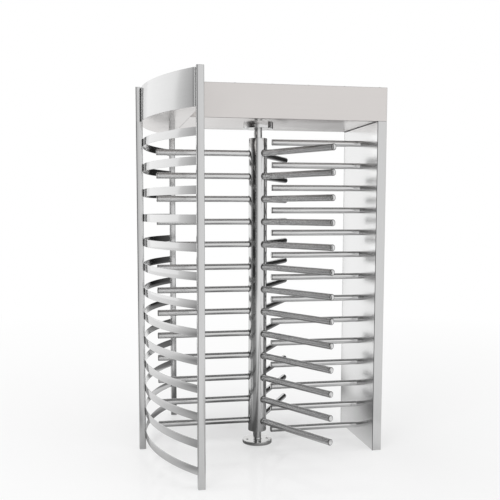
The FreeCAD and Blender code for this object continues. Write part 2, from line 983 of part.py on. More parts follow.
def tooth_profile(teeth):
    """Half of a tooth from root to tip as (radius, half angle) pairs.

    The flank is an involute of the base circle: at a radius r its half angle is
    the half angle at the pitch circle, plus inv(pressure angle), minus inv(a),
    where cos(a) = base radius / r and inv(a) = tan(a) - a.
    """
    module = read("gear_module")
    pressure = math.radians(read("pressure_angle"))
    pitch = module * teeth / 2
    base = pitch * math.cos(pressure)
    tip = pitch + module
    root = pitch - 1.25 * module
    half_pitch = math.pi / (2 * teeth) - read("tooth_gap") / (2 * pitch)
    half = []
    for radius in (max(base, root), pitch, tip):
        angle = math.acos(min(1.0, base / radius))
        involute = math.tan(angle) - angle
        standard = math.tan(pressure) - pressure
        half.append((radius, half_pitch + standard - involute))
    return [(root, half[0][1])] + [pair for pair in half if pair[0] > root]


def gear_face(teeth, turn):
    """The plane outline of a gear with a tooth at the angle turn."""
    flank = tooth_profile(teeth)
    corners = []
    for tooth in range(teeth):
        middle = turn + 2 * math.pi * tooth / teeth
        for radius, half in flank:
            corners.append((radius, middle - half))
        for radius, half in reversed(flank):
            corners.append((radius, middle + half))
    points = [Vector(r * math.cos(a), r * math.sin(a), 0) for r, a in corners]
    return Part.Face(Part.makePolygon(points + points[:1]))


def tube(radius, low, high):
    """A plain cylinder on the Z axis between two heights."""
    return Part.makeCylinder(radius, high - low, Vector(0, 0, low))


def make_rotor_gear():
    low, high = read("gear_bottom"), read("gear_top")
    rim = gear_face(int(read("gear_teeth")), 0).extrude(Vector(0, 0, high - low))
    rim.translate(Vector(0, 0, low))
    hub_low = read("hub_bottom")
    gear = rim.fuse(tube(read("hub_radius"), hub_low, high))
    gear = gear.cut(tube(read("shaft_seat"), hub_low, high))
    keyway = Part.makeBox(
        read("keyway_outside"),
        read("key_width"),
        high - hub_low,
        Vector(0, -read("key_half"), hub_low),
    )
    piece = doc.addObject("Part::Feature", "rotor_gear")
    piece.Shape = gear.cut(keyway).removeSplitter()
    keep(piece, "rotor_gear")


def make_damper():
    low, high = read("gear_bottom"), read("gear_top")
    teeth = int(read("pinion_teeth"))
    gap_to_gear = math.pi + math.pi / teeth
    pinion = gear_face(teeth, gap_to_gear).extrude(Vector(0, 0, high - low))
    pinion.translate(Vector(0, 0, low))
    piece = doc.addObject("Part::Feature", "damper_pinion")
    piece.Shape = pinion.cut(tube(read("damper_shaft"), low, high))
    piece.Placement = FreeCAD.Placement(
        Vector(read("gear_distance"), 0, 0), FreeCAD.Rotation()
    )
    keep(piece, "damper_pinion")
    shaft = turned(
        "damper_shaft",
        [
            ("0", "gear_bottom"),
            ("damper_shaft", "gear_bottom"),
            ("damper_shaft", "grip_top"),
            ("0", "grip_top"),
        ],
    )
    bind(shaft, "Placement.Base.x", "gear_distance")
    housing = turned(
        "damper_body",
        [
            ("damper_bore", "shelf_top"),
            ("damper_radius", "shelf_top"),
            ("damper_radius", "shelf_top + damper_height"),
            ("0", "shelf_top + damper_height"),
            ("0", "grip_top + turning_gap"),
            ("damper_bore", "grip_top + turning_gap"),
        ],
    )
    bind(housing, "Placement.Base.x", "gear_distance")
    bracket = new_body("damper_bracket")
    side = new_sketch(bracket, "damper_bracket_side", "XZ_Plane")
    add_outline(
        side,
        [
            ("gear_distance - shelf_reach", "shelf_bottom"),
            ("shelf_end", "shelf_bottom"),
            ("shelf_end", "plate_top"),
            ("shelf_foot_end", "plate_top"),
            ("shelf_foot_end", "foot_top"),
            ("shelf_end + shelf_thick", "foot_top"),
            ("shelf_end + shelf_thick", "shelf_top"),
            ("gear_distance - shelf_reach", "shelf_top"),
        ],
    )
    add_pad(bracket, side, "2 * shelf_half", middle=True)
    hole = new_sketch(bracket, "damper_shaft_hole", "XY_Plane", "shelf_bottom")
    add_circle(hole, "damper_hole", "gear_distance", "0")
    add_pocket(bracket, hole, "shelf_thick")


# Index wheel: a notch every 30 degrees, for the pawl's nose

def make_index_wheel():
    wheel = turned(
        "index_wheel",
        [
            ("shaft_seat", "gear_top"),
            ("hub_radius", "gear_top"),
            ("hub_radius", "wheel_bottom"),
            ("wheel_radius", "wheel_bottom"),
            ("wheel_radius", "wheel_top"),
            ("shaft_seat", "wheel_top"),
        ],
    )
    keyway = new_sketch(wheel, "wheel_keyway", "XY_Plane", "gear_top")
    add_rectangle(keyway, "key_inside", "- key_half", "keyway_outside", "key_half")
    add_pocket(wheel, keyway, "wheel_top - gear_top")
    notch = new_sketch(wheel, "wheel_notch", "XY_Plane", "wheel_bottom")
    add_rectangle(notch, "notch_floor", "- notch_half", "notch_outside", "notch_half")
    pocket = add_pocket(wheel, notch, "wheel_thick")
    add_ring(wheel, [pocket], "notch_count")


# Locks: one for each way through, mirror images of each other

def make_pawl():
    pawl = new_body("entry_pawl")
    lever = new_sketch(pawl, "pawl_outline", "XY_Plane", "wheel_bottom")
    add_outline(
        lever,
        [
            ("- pawl_back", "pawl_y - pawl_half"),
            ("nose_shift - nose_half", "pawl_y - pawl_half"),
            ("nose_shift - nose_half", "nose_tip"),
            ("nose_shift", "nose_tip"),
            ("nose_shift + nose_half", "pawl_y - pawl_half"),
            ("nose_shift + nose_half", "pawl_y"),
            ("nose_shift - nose_half", "pawl_y + pawl_half"),
            ("- pawl_back + pawl_half", "pawl_y + pawl_half"),
            ("- pawl_back + pawl_half", "tail_y + pawl_half"),
            ("- pawl_back - pawl_half", "tail_y + pawl_half"),
            ("- pawl_back - pawl_half", "pawl_y"),
        ],
    )
    add_pad(pawl, lever, "wheel_thick")
    hub = new_sketch(pawl, "pawl_hub_outline", "XY_Plane", "wheel_bottom")
    add_circle(hub, "pawl_hub", "- pawl_back", "pawl_y")
    add_pad(pawl, hub, "wheel_thick")
    pin = new_sketch(pawl, "tail_pin_outline", "XY_Plane", "wheel_top")
    add_circle(pin, "tail_pin", "- pawl_back", "tail_y")
    add_pad(pawl, pin, "tail_pin_rise")
    bore = new_sketch(pawl, "pawl_bore", "XY_Plane", "wheel_bottom")
    add_circle(bore, "pivot_bore", "- pawl_back", "pawl_y")
    add_pocket(pawl, bore, "wheel_thick")
    mirrored("exit_pawl", pawl)


def make_pawl_pivot():
    pivot = turned(
        "pawl_pivot",
        [
            ("0", "plate_top"),
            ("pivot_collar", "plate_top"),
            ("pivot_collar", "pivot_shelf"),
            ("pivot_radius", "pivot_shelf"),
            ("pivot_radius", "pivot_top"),
            ("0", "pivot_top"),
        ],
    )
    bind(pivot, "Placement.Base.x", "-pawl_back")
    bind(pivot, "Placement.Base.y", "pawl_y")
    pair("pawl_pivots", pivot)


def make_plunger():
    plunger = new_body("entry_plunger")
    tongue = new_sketch(plunger, "tongue_outline", "XY_Plane", "tongue_bottom")
    add_rectangle(
        tongue,
        "- pawl_back - tongue_right",
        "tail_y - tongue_half",
        "- pawl_back + tongue_right",
        "tail_y + tongue_half",
    )
    add_rectangle(
        tongue,
        "- pawl_back - slot_x",
        "tail_y - slot_half",
        "- pawl_back + slot_x",
        "tail_y + slot_half",
    )
    add_pad(plunger, tongue, "tongue_thick")
    rod = new_sketch(plunger, "plunger_section", "YZ_Plane", "tongue_right - pawl_back")
    add_circle(rod, "plunger_radius", "tail_y", "plunger_z")
    add_pad(plunger, rod, "plunger_length")
    mirrored("exit_plunger", plunger)


def make_solenoid():
    solenoid = extruded(
        "entry_solenoid",
        "YZ_Plane",
        "solenoid_gap - pawl_back",
        "solenoid_length",
        (
            "tail_y - solenoid_half",
            "solenoid_bottom",
            "tail_y + solenoid_half",
            "solenoid_top",
        ),
    )
    bore = new_sketch(solenoid, "solenoid_bore", "YZ_Plane", "solenoid_gap - pawl_back")
    add_circle(bore, "plunger_bore", "tail_y", "plunger_z")
    add_pocket(solenoid, bore, "solenoid_bore")
    mirrored("exit_solenoid", solenoid)
    stand = new_body("solenoid_stand")
    hat = new_sketch(stand, "stand_section", "YZ_Plane", "solenoid_gap - pawl_back")
    left, right = "tail_y - solenoid_half", "tail_y + solenoid_half"
    add_outline(
        hat,
        [
            (left, "plate_top"),
            (left + " + bracket_sheet", "plate_top"),
            (left + " + bracket_sheet", "solenoid_bottom - bracket_sheet"),
            (right + " - bracket_sheet", "solenoid_bottom - bracket_sheet"),
            (right + " - bracket_sheet", "plate_top"),
            (right, "plate_top"),
            (right, "solenoid_bottom"),
            (left, "solenoid_bottom"),
        ],
    )
    add_pad(stand, hat, "2 * bracket_half")
    pair("solenoid_stands", stand)


# Sensor and electrical boxes

def make_sensor():
    sensor = new_body("position_sensor")
    section = new_sketch(sensor, "sensor_section", "YZ_Plane", "-sensor_tip")
    add_circle(section, "sensor_radius", "0", "sensor_z")
    pad = add_pad(sensor, section, "sensor_length")
    pad.Reversed = True
    bracket = new_body("sensor_bracket")
    side = new_sketch(bracket, "sensor_bracket_side", "XZ_Plane")
    add_outline(
        side,
        [
            ("- sensor_back", "plate_top"),
            ("- sensor_back", "sensor_z + sensor_top"),
            ("- sensor_back - bracket_sheet", "sensor_z + sensor_top"),
            ("- sensor_back - bracket_sheet", "sensor_sheet_top"),
            ("- sensor_foot_end", "sensor_sheet_top"),
            ("- sensor_foot_end", "plate_top"),
        ],
    )
    add_pad(bracket, side, "2 * sensor_half", middle=True)
    hole = new_sketch(
        bracket, "sensor_hole", "YZ_Plane", "-sensor_back - bracket_sheet"
    )
    add_circle(hole, "sensor_bore", "0", "sensor_z")
    add_pocket(bracket, hole, "bracket_sheet")


def make_boxes():
    block(
        "control_case",
        ("control_start", "-control_half", "header_floor"),
        "control_length",
        "2 * control_half",
        "control_height",
    )
    block(
        "power_supply",
        ("supply_start", "-supply_half", "header_floor"),
        "supply_length",
        "2 * supply_half",
        "supply_height",
    )


def check():
    """Stop if any object failed, or a sub-part isn't a sound solid."""
    doc.recompute()
    for item in doc.Objects:
        if "Invalid" in item.State or "Error" in item.State:
            raise RuntimeError(f"{item.Label} failed: {item.State}")
    for piece in pieces:
        if piece.Shape.isNull() or not piece.Shape.isValid() or not piece.Shape.Solids:
            raise RuntimeError(f"{piece.Label} has no sound solid")


def export():
    os.makedirs("parts", exist_ok=True)
    for piece in pieces:
        piece.Shape.exportStep(os.path.join("parts", piece.Label + ".step"))
        print(piece.Label, len(piece.Shape.Solids), round(piece.Shape.Volume))


make_posts()
make_post_ends()
make_guard_bands()
make_canopy()
make_header()
make_side_panel()
make_comb()
make_rotor()
make_floor_bearing()
make_upper_bearing()
make_mechanism_plate()
make_shaft()
make_rotor_gear()
make_damper()
make_index_wheel()
make_pawl()
make_pawl_pivot()
make_plunger()
make_solenoid()
make_sensor()
make_boxes()
check()
export()
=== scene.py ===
# %% [markdown]
# # A full height turnstile in stainless steel
#
# Three wings of round arms turn on one column. A comb of fixed bars stands
# between them on the right, so that nobody slips past, and a curved cage of flat
# guard bands closes the left side. The mechanism sits above, in a boxed header.
#
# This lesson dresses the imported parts: it loads them, gives each visible part a
# finer surface of its own, and gives every part the finish of its real metal.
# All sizes below are in millimetres, and are turned to metres in one place.

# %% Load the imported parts
import json
from math import cos, radians, sin, tau

import bmesh
import bpy
import numpy as np
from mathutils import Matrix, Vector


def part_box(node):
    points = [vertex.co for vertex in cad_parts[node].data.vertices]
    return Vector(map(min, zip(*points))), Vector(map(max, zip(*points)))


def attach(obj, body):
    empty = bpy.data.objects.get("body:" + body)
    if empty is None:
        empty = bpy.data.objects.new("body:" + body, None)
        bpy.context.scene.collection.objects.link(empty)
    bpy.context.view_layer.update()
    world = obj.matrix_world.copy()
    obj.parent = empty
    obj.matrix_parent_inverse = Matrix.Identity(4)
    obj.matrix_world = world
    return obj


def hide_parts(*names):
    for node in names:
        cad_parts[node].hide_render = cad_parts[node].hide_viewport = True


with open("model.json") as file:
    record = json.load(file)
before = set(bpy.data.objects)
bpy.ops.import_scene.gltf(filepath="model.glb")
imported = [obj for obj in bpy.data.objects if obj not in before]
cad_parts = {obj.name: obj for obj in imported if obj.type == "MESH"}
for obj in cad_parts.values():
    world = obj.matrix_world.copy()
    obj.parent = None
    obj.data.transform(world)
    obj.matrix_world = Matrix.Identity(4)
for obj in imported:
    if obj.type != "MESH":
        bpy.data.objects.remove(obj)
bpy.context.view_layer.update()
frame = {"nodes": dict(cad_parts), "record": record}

# %% [markdown]
# ## Sizes
#
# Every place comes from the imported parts, read as the two corners of a part's
# box. A few sizes that a box doesn't tell, such as a bend or a wall, are named
# where they are needed, as a sheet-metal drawing would give them.

# %% Sizes of the turnstile
MM = 0.001


def corners(node):
    """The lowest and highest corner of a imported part, in millimetres."""
    low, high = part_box(node)
    return np.array(low) / MM, np.array(high) / MM


post_low, post_high = corners("front_post")
side_low, side_high = corners("side_post")
POST = 40
POST_X = (post_low[0] + post_high[0]) / 2
POST_Y = -(post_low[1] + post_high[1]) / 2
POST_TOP = post_high[2]
SIDE_X = side_low[0] + POST / 2
SOFFIT = corners("header_shell")[0][2]
print("posts at x", round(POST_X), "and y", round(POST_Y), "- soffit at", round(SOFFIT), "mm")

# %% The circle of the cage
# A circle's arc over a chord of 2 * c, with the rise r, has the radius (c^2 + r^2) / (2 * r).
CAGE_REACH = -side_high[0]
CAGE_RISE = CAGE_REACH + POST_X
CAGE_RADIUS = (POST_Y**2 + CAGE_RISE**2) / (2 * CAGE_RISE)
CAGE_CENTRE = CAGE_RADIUS - CAGE_REACH
CAGE_END = POST_Y - POST / 2
print("cage radius", round(CAGE_RADIUS, 1), "about x", round(CAGE_CENTRE, 1))

# %% [markdown]
# ## Surfaces as arrays
#
# A piece here is one or more grids of points. A grid is a function of two
# parameters, such as the place along a path and the place round a profile, and
# numpy works out all its points at once. Neighbouring points then make quads.
# Doubled points at seams and poles are merged, and the shell's normals are
# turned outwards, so that the result is one closed surface.

# %% The quads of a grid
def chain(*stretches):
    """One array from its stretches, one after another."""
    return np.concatenate(stretches)


def grid_quads(rows, columns, first=0, wrap_rows=0, wrap_columns=0):
    """Each quad joins a point to the next in its row and in its column."""
    row, column = np.meshgrid(
        np.arange(rows - 1 + wrap_rows), np.arange(columns - 1 + wrap_columns), indexing="ij"
    )
    right, down = (column + 1) % columns, (row + 1) % rows
    quad = [(row, column), (row, right), (down, right), (down, column)]
    return first + np.stack([r * columns + c for r, c in quad], -1).reshape(-1, 4)


print("a grid of 3 by 4 points has", len(grid_quads(3, 4)), "quads")

# %% From grids to a piece
MERGE_DISTANCE = 0.01 * MM
SHARP_ANGLE = 38


def to_mesh(name, grids):
    """One mesh from grids of points in mm; each is (points, wrap_rows, wrap_columns)."""
    points, quads, first = [], [], 0
    for grid, wrap_rows, wrap_columns in grids:
        rows, columns = grid.shape[:2]
        points.append(grid.reshape(-1, 3) * MM)
        quads.append(grid_quads(rows, columns, first, wrap_rows, wrap_columns))
        first += rows * columns
    mesh = bpy.data.meshes.new(name)
    mesh.from_pydata(chain(*points), [], chain(*quads).tolist())
    shell = bmesh.new()
    shell.from_mesh(mesh)
    bmesh.ops.remove_doubles(shell, verts=shell.verts, dist=MERGE_DISTANCE)
    bmesh.ops.recalc_face_normals(shell, faces=shell.faces)
    shell.to_mesh(mesh)
    shell.free()
    mesh.shade_smooth()
    mesh.set_sharp_from_angle(angle=radians(SHARP_ANGLE))
    return mesh


def linked(name, data):
    """An object of its mesh, lamp or camera, put into the scene."""
    thing = bpy.data.objects.new(name, data)
    bpy.context.scene.collection.objects.link(thing)
    return thing


def piece(name, grids, body, finish, stands_for=()):
    """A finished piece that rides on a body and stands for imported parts."""
    thing = linked(name, to_mesh(name, grids))
    thing.data.materials.append(finish)
    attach(thing, body)
    if stands_for:
        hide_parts(*stands_for)
    print(f"{name}: {len(thing.data.polygons)} faces")


# %% Profiles
def arc(centre, radius, start, end, steps):
    """Points on a circle: centre + radius * (cos, sin) of evenly spaced angles in degrees."""
    angle = np.radians(np.linspace(start, end, steps + 1))
    return np.stack([centre[0] + radius * np.cos(angle), centre[1] + radius * np.sin(angle)], -1)


def rounded_box(half_x, half_y, radius, steps=5):
    """A rectangle about 0,0 with an arc at each corner, anticlockwise, as a closed loop."""
    x, y = half_x - radius, half_y - radius
    turns = enumerate([(x, y), (-x, y), (-x, -y), (x, -y)])
    return chain(*[arc(centre, radius, 90 * k, 90 * k + 90, steps) for k, centre in turns])


print("a rounded square has", len(rounded_box(20, 20, 6)), "points")

# %% [markdown]
# A round piece is turned on a lathe, and a straight one is its plan, carried up
# through a few levels. The middle of its first and its last row closes it.

# %% Lathe and plan
def round_axis(axis, steps):
    """The axis as a unit vector, and the directions round it: cos(t) * side + sin(t) * up."""
    axis = np.array(axis, float) / np.linalg.norm(axis)
    side = np.cross(axis, (0, 0, 1)) if abs(axis[2]) < 0.9 else np.array([1.0, 0, 0])
    side /= np.linalg.norm(side)
    t = np.arange(steps) * tau / steps
    return axis, np.outer(np.cos(t), side) + np.outer(np.sin(t), np.cross(axis, side))


def turned(profile, origin=(0, 0, 0), axis=(0, 0, 1), steps=96, closed=0):
    """A lathe: each (radius, height) of the profile goes round the axis, so that a point is
    origin + height * axis + radius * direction. A closed profile makes a ring."""
    axis, ring = round_axis(axis, steps)
    profile = np.array(profile, float)
    points = np.array(origin) + profile[:, None, 1:] * axis + profile[:, None, :1] * ring
    return points, closed, 1


def upright(loop, levels, centre=(0, 0)):
    """A plan loop carried up: one copy of it at each level."""
    loop = np.array(loop) + centre
    levels = np.array(levels, float)
    plan = np.broadcast_to(loop, (len(levels), *loop.shape))
    height = np.broadcast_to(levels[:, None, None], (len(levels), len(loop), 1))
    return np.concatenate([plan, height], -1)


def stacked(rows, centre=(0, 0)):
    """One row of points for each plan loop and its level."""
    return np.array([upright(loop, [level], centre)[0] for loop, level in rows])


def closed_ends(grid):
    """A middle point is added before the first and after the last row, which closes them."""
    first, last = (np.broadcast_to(row.mean(0), row.shape)[None] for row in (grid[0], grid[-1]))
    return chain(first, grid, last), 0, 1

# %% [markdown]
# ## Metals
#
# Stainless steel (1.4301) is one metal with several surfaces here. The sheets of
# the header and the canopy are brushed: fine parallel scratches, which blur a
# reflection across the grain. The guard bands are bright rolled. The inner skin
# of the side panel is bright annealed, a soft mirror that swells a little, as
# thin sheet does. The tubes are polished, with a faint lengthwise grain. A metal
# has no colour under its reflection, so the base colour is the reflection's own.
#
# The grain is a noise that is stretched along the brushing. Real grit 240 gives
# scratches 0.1 mm wide. That is too fine for a picture in which one pixel is
# 5 mm, so the grain is drawn 2 mm wide.

# %% Colour and nodes
def srgb(code):
    """The linear colour of a hex code: c / 12.92 when dark, else ((c + 0.055) / 1.055) ^ 2.4."""
    parts = [int(code[i : i + 2], 16) / 255 for i in (1, 3, 5)]
    return (*[c / 12.92 if c <= 0.04045 else ((c + 0.055) / 1.055) ** 2.4 for c in parts], 1)


def add(tree, kind, inputs=None, **settings):
    """A shader node of a kind, with its properties. Each input gets a value, or a link from a
    socket or from a node's first output."""
    node = tree.nodes.new("ShaderNode" + kind)
    for name, value in settings.items():
        setattr(node, name, value)
    for name, value in (inputs or {}).items():
        if isinstance(value, bpy.types.Node):
            value = value.outputs[0]
        if isinstance(value, bpy.types.NodeSocket):
            tree.links.new(value, node.inputs[name])
        else:
            node.inputs[name].default_value = value
    return node


def emptied(owner):
    """The node tree of a material or a world, with nothing in it."""
    owner.use_nodes = True
    owner.node_tree.nodes.clear()
    return owner.node_tree


def new_finish(name):
    """A new material, its empty node tree and the object coordinates."""
    finish = bpy.data.materials.new(name)
    tree = emptied(finish)
    return finish, tree, add(tree, "TexCoord").outputs["Object"]


def two_tones(tree, share, shade, colour):
    """A colour that goes from the shade to the colour with a noise's share."""
    ends = {"Factor": share, "A": srgb(shade), "B": srgb(colour)}
    return add(tree, "Mix", ends, data_type="RGBA").outputs["Result"]


def shaded(tree, inputs):
    """The surface: one principled shader with these inputs."""
    shader = add(tree, "BsdfPrincipled", inputs)
    add(tree, "OutputMaterial", {"Surface": shader})


print("middle grey in linear light:", round(srgb("#808080")[0], 3))

# %% Stainless steel
GRAIN = 2.0 * MM
GRAIN_LENGTH = 400 * MM
SCRATCH_DEPTH = 0.2 * MM
PATCHES = 6.0  # to a metre
SWELLS = 2.2
TWO_NOISES = 0.7, 1.3  # nearly all sums of two noises lie in this range


def stainless(name, colour, shade, rough, spread, bump, grain=(0, 0, 0), along="x", wave=0.0):
    """Stainless steel. colour and shade are the lightest and darkest tone of the polish, rough
    and spread the middle and the range of the roughness, bump the strength of the scratches,
    grain the turn of the brushing, along its axes, and wave the swell of the sheet in metres."""
    finish, tree, place = new_finish(name)
    stretch = [1 / GRAIN_LENGTH if axis in along else 1 / GRAIN for axis in "xyz"]
    turned_place = add(tree, "Mapping", {"Vector": place, "Rotation": grain})
    lines = add(tree, "Mapping", {"Vector": turned_place, "Scale": stretch})
    scratch = add(tree, "TexNoise", {"Vector": lines, "Scale": 1.0, "Detail": 3.0})
    patch = add(tree, "TexNoise", {"Vector": place, "Scale": PATCHES, "Detail": 4.0})
    mixed = add(tree, "Math", {0: scratch, 1: patch}, operation="ADD")
    least, most = TWO_NOISES
    ends = {"From Min": least, "From Max": most, "To Min": rough - spread, "To Max": rough + spread}
    blur = add(tree, "MapRange", {"Value": mixed, **ends})
    relief = {"Height": scratch, "Strength": bump, "Distance": SCRATCH_DEPTH}
    normal = add(tree, "Bump", relief)
    if wave:
        swell = add(tree, "TexNoise", {"Vector": place, "Scale": SWELLS, "Detail": 1.0})
        relief = {"Height": swell, "Strength": 1.0, "Distance": wave, "Normal": normal}
        normal = add(tree, "Bump", relief)
    tone = two_tones(tree, scratch, shade, colour)
    shaded(tree, {"Base Color": tone, "Roughness": blur, "Normal": normal, "Metallic": 1.0})
    return finish

# %% The stainless finishes
SHEET_TONES = "#dad6d4", "#d1cdcb"
CANOPY_TONES = "#d9d9d9", "#cfcfcf"
POST_TONES = "#d2d2d2", "#c9c9c9"
BAND_TONES = "#d8d8d8", "#cecece"
TUBE_TONES = "#dcdcdc", "#d4d4d4"
PLATE_TONES = "#d8d8d7", "#c8c8c7"
brushed_sheet = stainless("brushed_stainless_sheet", *SHEET_TONES, 0.2, 0.04, 0.2, along="xy")
brushed_canopy = stainless("brushed_canopy_sheet", *CANOPY_TONES, 0.16, 0.03, 0.1, along="xy")
brushed_post = stainless("brushed_stainless_post", *POST_TONES, 0.14, 0.03, 0.15, along="z")
rolled_band = stainless("rolled_stainless_band", *BAND_TONES, 0.11, 0.03, 0.1, along="xy")
mirror_sheet = stainless(
    "bright_annealed_sheet", "#f0f0f0", "#eaeaea", 0.19, 0.02, 0.05, along="z", wave=0.0004
)
polished_upright = stainless("polished_column_tube", *TUBE_TONES, 0.09, 0.02, 0.05, along="z")
polished_comb = stainless("polished_comb_tube", *TUBE_TONES, 0.09, 0.02, 0.05, along="x")
ground_plate = stainless("ground_stainless_plate", *PLATE_TONES, 0.16, 0.05, 0.2, along="xy")
print("finish of the column:", polished_upright.name)

# %% [markdown]
# Inside the header, the parts are plain machine parts. Zinc plate has a bluish
# sheen in soft clouds, ground bearing steel is nearly a mirror, and machined
# steel keeps the marks of the tool. The damper's body is cast aluminium, the
# solenoids' cases are black enamel, and the two boxes are grey moulded plastic.
# Outside, welds are pickled to a dark dull grey, and the screws in the flanges are
# blackened. A thin dark bead with a soft shine paints the shadow gaps at the side panel's joints.

# %% Finishes of the mechanism
CLOUD_BLUR = 0.08
DIMPLE_DEPTH = 0.3 * MM


def machine_metal(name, colour, shade, rough, scale):
    """A metal with soft clouds of tone and roughness, scale clouds to a metre."""
    finish, tree, place = new_finish(name)
    cloud = add(tree, "TexNoise", {"Vector": place, "Scale": scale, "Detail": 5.0})
    ends = {"Value": cloud, "To Min": rough - CLOUD_BLUR, "To Max": rough + CLOUD_BLUR}
    blur = add(tree, "MapRange", ends)
    tone = two_tones(tree, cloud, shade, colour)
    shaded(tree, {"Base Color": tone, "Roughness": blur, "Metallic": 1.0})
    return finish


def moulded(name, colour, shade, rough, grain):
    """A plastic or enamel skin: a fine cast texture, grain bumps to a metre."""
    finish, tree, place = new_finish(name)
    leather = add(tree, "TexNoise", {"Vector": place, "Scale": grain, "Detail": 2.0})
    relief = {"Height": leather, "Strength": 0.3, "Distance": DIMPLE_DEPTH}
    dimple = add(tree, "Bump", relief)
    tone = two_tones(tree, leather, shade, colour)
    shaded(tree, {"Base Color": tone, "Roughness": rough, "Normal": dimple})
    return finish


zinc = machine_metal("zinc_plated_steel", "#c3c9cf", "#a5acb3", 0.35, 40)
bearing = machine_metal("ground_bearing_steel", "#cfd0d1", "#bdbec0", 0.14, 90)
machined = machine_metal("machined_steel", "#b3b3b2", "#96969a", 0.3, 120)
pickled_weld = machine_metal("pickled_weld_seam", "#777674", "#555452", 0.38, 300)
screw_metal = machine_metal("blackened_screw_steel", "#2c2c2d", "#1c1c1d", 0.4, 200)
cast = machine_metal("cast_aluminium", "#b9bbbd", "#a2a4a7", 0.42, 200)
enamel = moulded("black_enamel", "#202123", "#17181a", 0.35, 300)
plastic = moulded("grey_moulded_plastic", "#9a9d9f", "#8f9294", 0.5, 700)
# A dark bead's finish: it paints the shadow gaps in the side panel's joints.
sealant = moulded("dark_bead_painted_gap_shade", "#2b2b2c", "#232324", 0.5, 400)

FINISH_OF_SLOT = {
    "satin_stainless": brushed_sheet,
    "bright_stainless": mirror_sheet,
    "polished_tube": polished_upright,
    "zinc_plated_steel": zinc,
    "bearing_steel": bearing,
    "machined_steel": machined,
    "damper_alloy": cast,
    "solenoid_case": enamel,
    "enclosure_plastic": plastic,
}
for part in frame["record"]["subparts"]:
    thing = frame["nodes"][part["node"]]
    thing.data.materials.clear()
    thing.data.materials.append(FINISH_OF_SLOT[part["material_slot"]])
print("finishes given to", len(frame["nodes"]), "packed parts")

# %% [markdown]
# ## Posts
#
# The three posts are cold-drawn square tubes. Such a tube has no sharp edges: its
# corners are rounded, and they catch a thin dark or bright line each. The profile
# is a rounded square, carried up outside and down again inside, which gives the
# wall at once. Above the soffit, the side post's inner side is cut back to clear
# the fascia.

# %% Square posts and their caps
POST_CORNER = 6
POST_WALL = 2
NOTCH_PLAY = 0.1
notch = side_high[0] - corners("canopy_fascia")[0][0] + NOTCH_PLAY


def post(x, y, cut_back):
    """A tube: the outer loop goes up, the inner loop comes down, and the rows wrap."""
    half = POST / 2
    outer = rounded_box(half, half, POST_CORNER)
    inner = rounded_box(half - POST_WALL, half - POST_WALL, POST_CORNER - POST_WALL)
    narrow = [1 - cut_back / POST, 1]
    shift = [-cut_back / 2, 0]
    levels = [0, SOFFIT, SOFFIT, POST_TOP]
    up = upright(outer, levels, (x, y))
    down = upright(inner, levels[::-1], (x, y))
    up[2:, :, :2] = outer * narrow + shift + (x, y)
    down[:2, :, :2] = inner * narrow + shift + (x, y)
    return chain(up, down), 1, 1


def cap(x, y, cut_back):
    """A cap plate: a rounded square whose top edge is eased, closed at both middles."""
    middle = (x - cut_back / 2, y)
    half = np.array([POST - cut_back, POST]) / 2
    bottom, top = corners("post_caps")[0][2], corners("post_caps")[1][2]
    # Each row is a share of the full plan: 0 closes the plate, and the others ease its edges.
    shares = [(0, bottom), (0.99, bottom), (1, bottom + 0.4), (1, top - 0.8), (0.96, top), (0, top)]
    loop = rounded_box(*half, POST_CORNER)
    return stacked([(loop * share, level) for share, level in shares], middle), 0, 1


PLACES = {
    "front_post": (POST_X, -POST_Y, 0),
    "rear_post": (POST_X, POST_Y, 0),
    "side_post": (SIDE_X, 0, notch),
}
for name, place in PLACES.items():
    piece(f"{name}_tube", [post(*place)], "frame", brushed_post, [name])
caps = [cap(*place) for place in PLACES.values()]
piece("post_cap_plates", caps, "frame", brushed_post, ["post_caps"])

# %% [markdown]
# ## Guard bands
#
# Each band is a flat bar, rolled on edge to the circle of the cage and welded
# between the corner posts. A flat bar's edges are slightly rounded by rolling.
# Its small profile is carried along the arc, and all bands are one piece.

# %% Guard bands
BAND_HEIGHT = 45
BAND_THICK = 4
BAND_EDGE = 1.2
BAND_COUNT = 13
band_low, band_high = corners("guard_bands")
BAND_PITCH = (band_high[2] - band_low[2] - BAND_HEIGHT) / (BAND_COUNT - 1)
BAND_LEVELS = band_low[2] + BAND_PITCH * np.arange(BAND_COUNT)


def cage_arc(radius, end, steps):
    """Points of the cage's circle from y = -end to y = end, with their outward directions."""
    half = np.arcsin(end / radius)
    angle = np.linspace(-half, half, steps + 1)
    outward = np.stack([-np.cos(angle), np.sin(angle)], -1)
    return np.array([CAGE_CENTRE, 0]) + radius * outward, outward


def carried(profile, path, outward):
    """A profile of (outward, height) carried along a plan path: path + a * outward, at height."""
    plan = path[:, None] + profile[None, :, :1] * outward[:, None]
    height = np.broadcast_to(profile[None, :, 1:], (*plan.shape[:2], 1))
    return np.concatenate([plan, height], -1)


path, outward = cage_arc(CAGE_RADIUS - BAND_THICK / 2, CAGE_END, 120)
profile = rounded_box(BAND_THICK / 2, BAND_HEIGHT / 2, BAND_EDGE, 3)
bands = [
    closed_ends(carried(profile + (0, level + BAND_HEIGHT / 2), path, outward))
    for level in BAND_LEVELS
]
piece("guard_band_bars", bands, "frame", rolled_band, ["guard_bands"])

# %% [markdown]
# The bands are welded to all three posts. A weld is a row of small overlapping
# puddles, so its bead swells and shrinks a little along its length.

# %% Welds of the bands
BEAD = 2.6
BEAD_MARGIN = 3
PUDDLE = 4


def upright_bead(x, y, low, high, steps=28):
    """A bead along z. Its radius is BEAD * (1 + 0.08 * cos(tau * z / PUDDLE)), and goes to 0 at
    both ends as sqrt(1 - s^12), where s runs from -1 to 1."""
    share = np.linspace(0, 1, steps + 1)
    swell = 1 + 0.08 * np.cos(share * (high - low) / PUDDLE * tau)
    close = np.sqrt(np.clip(1 - (2 * share - 1) ** 12, 0, 1))
    rows = np.stack([BEAD * swell * close, low + share * (high - low)], -1)
    return turned(rows, (x, y, 0), steps=12)


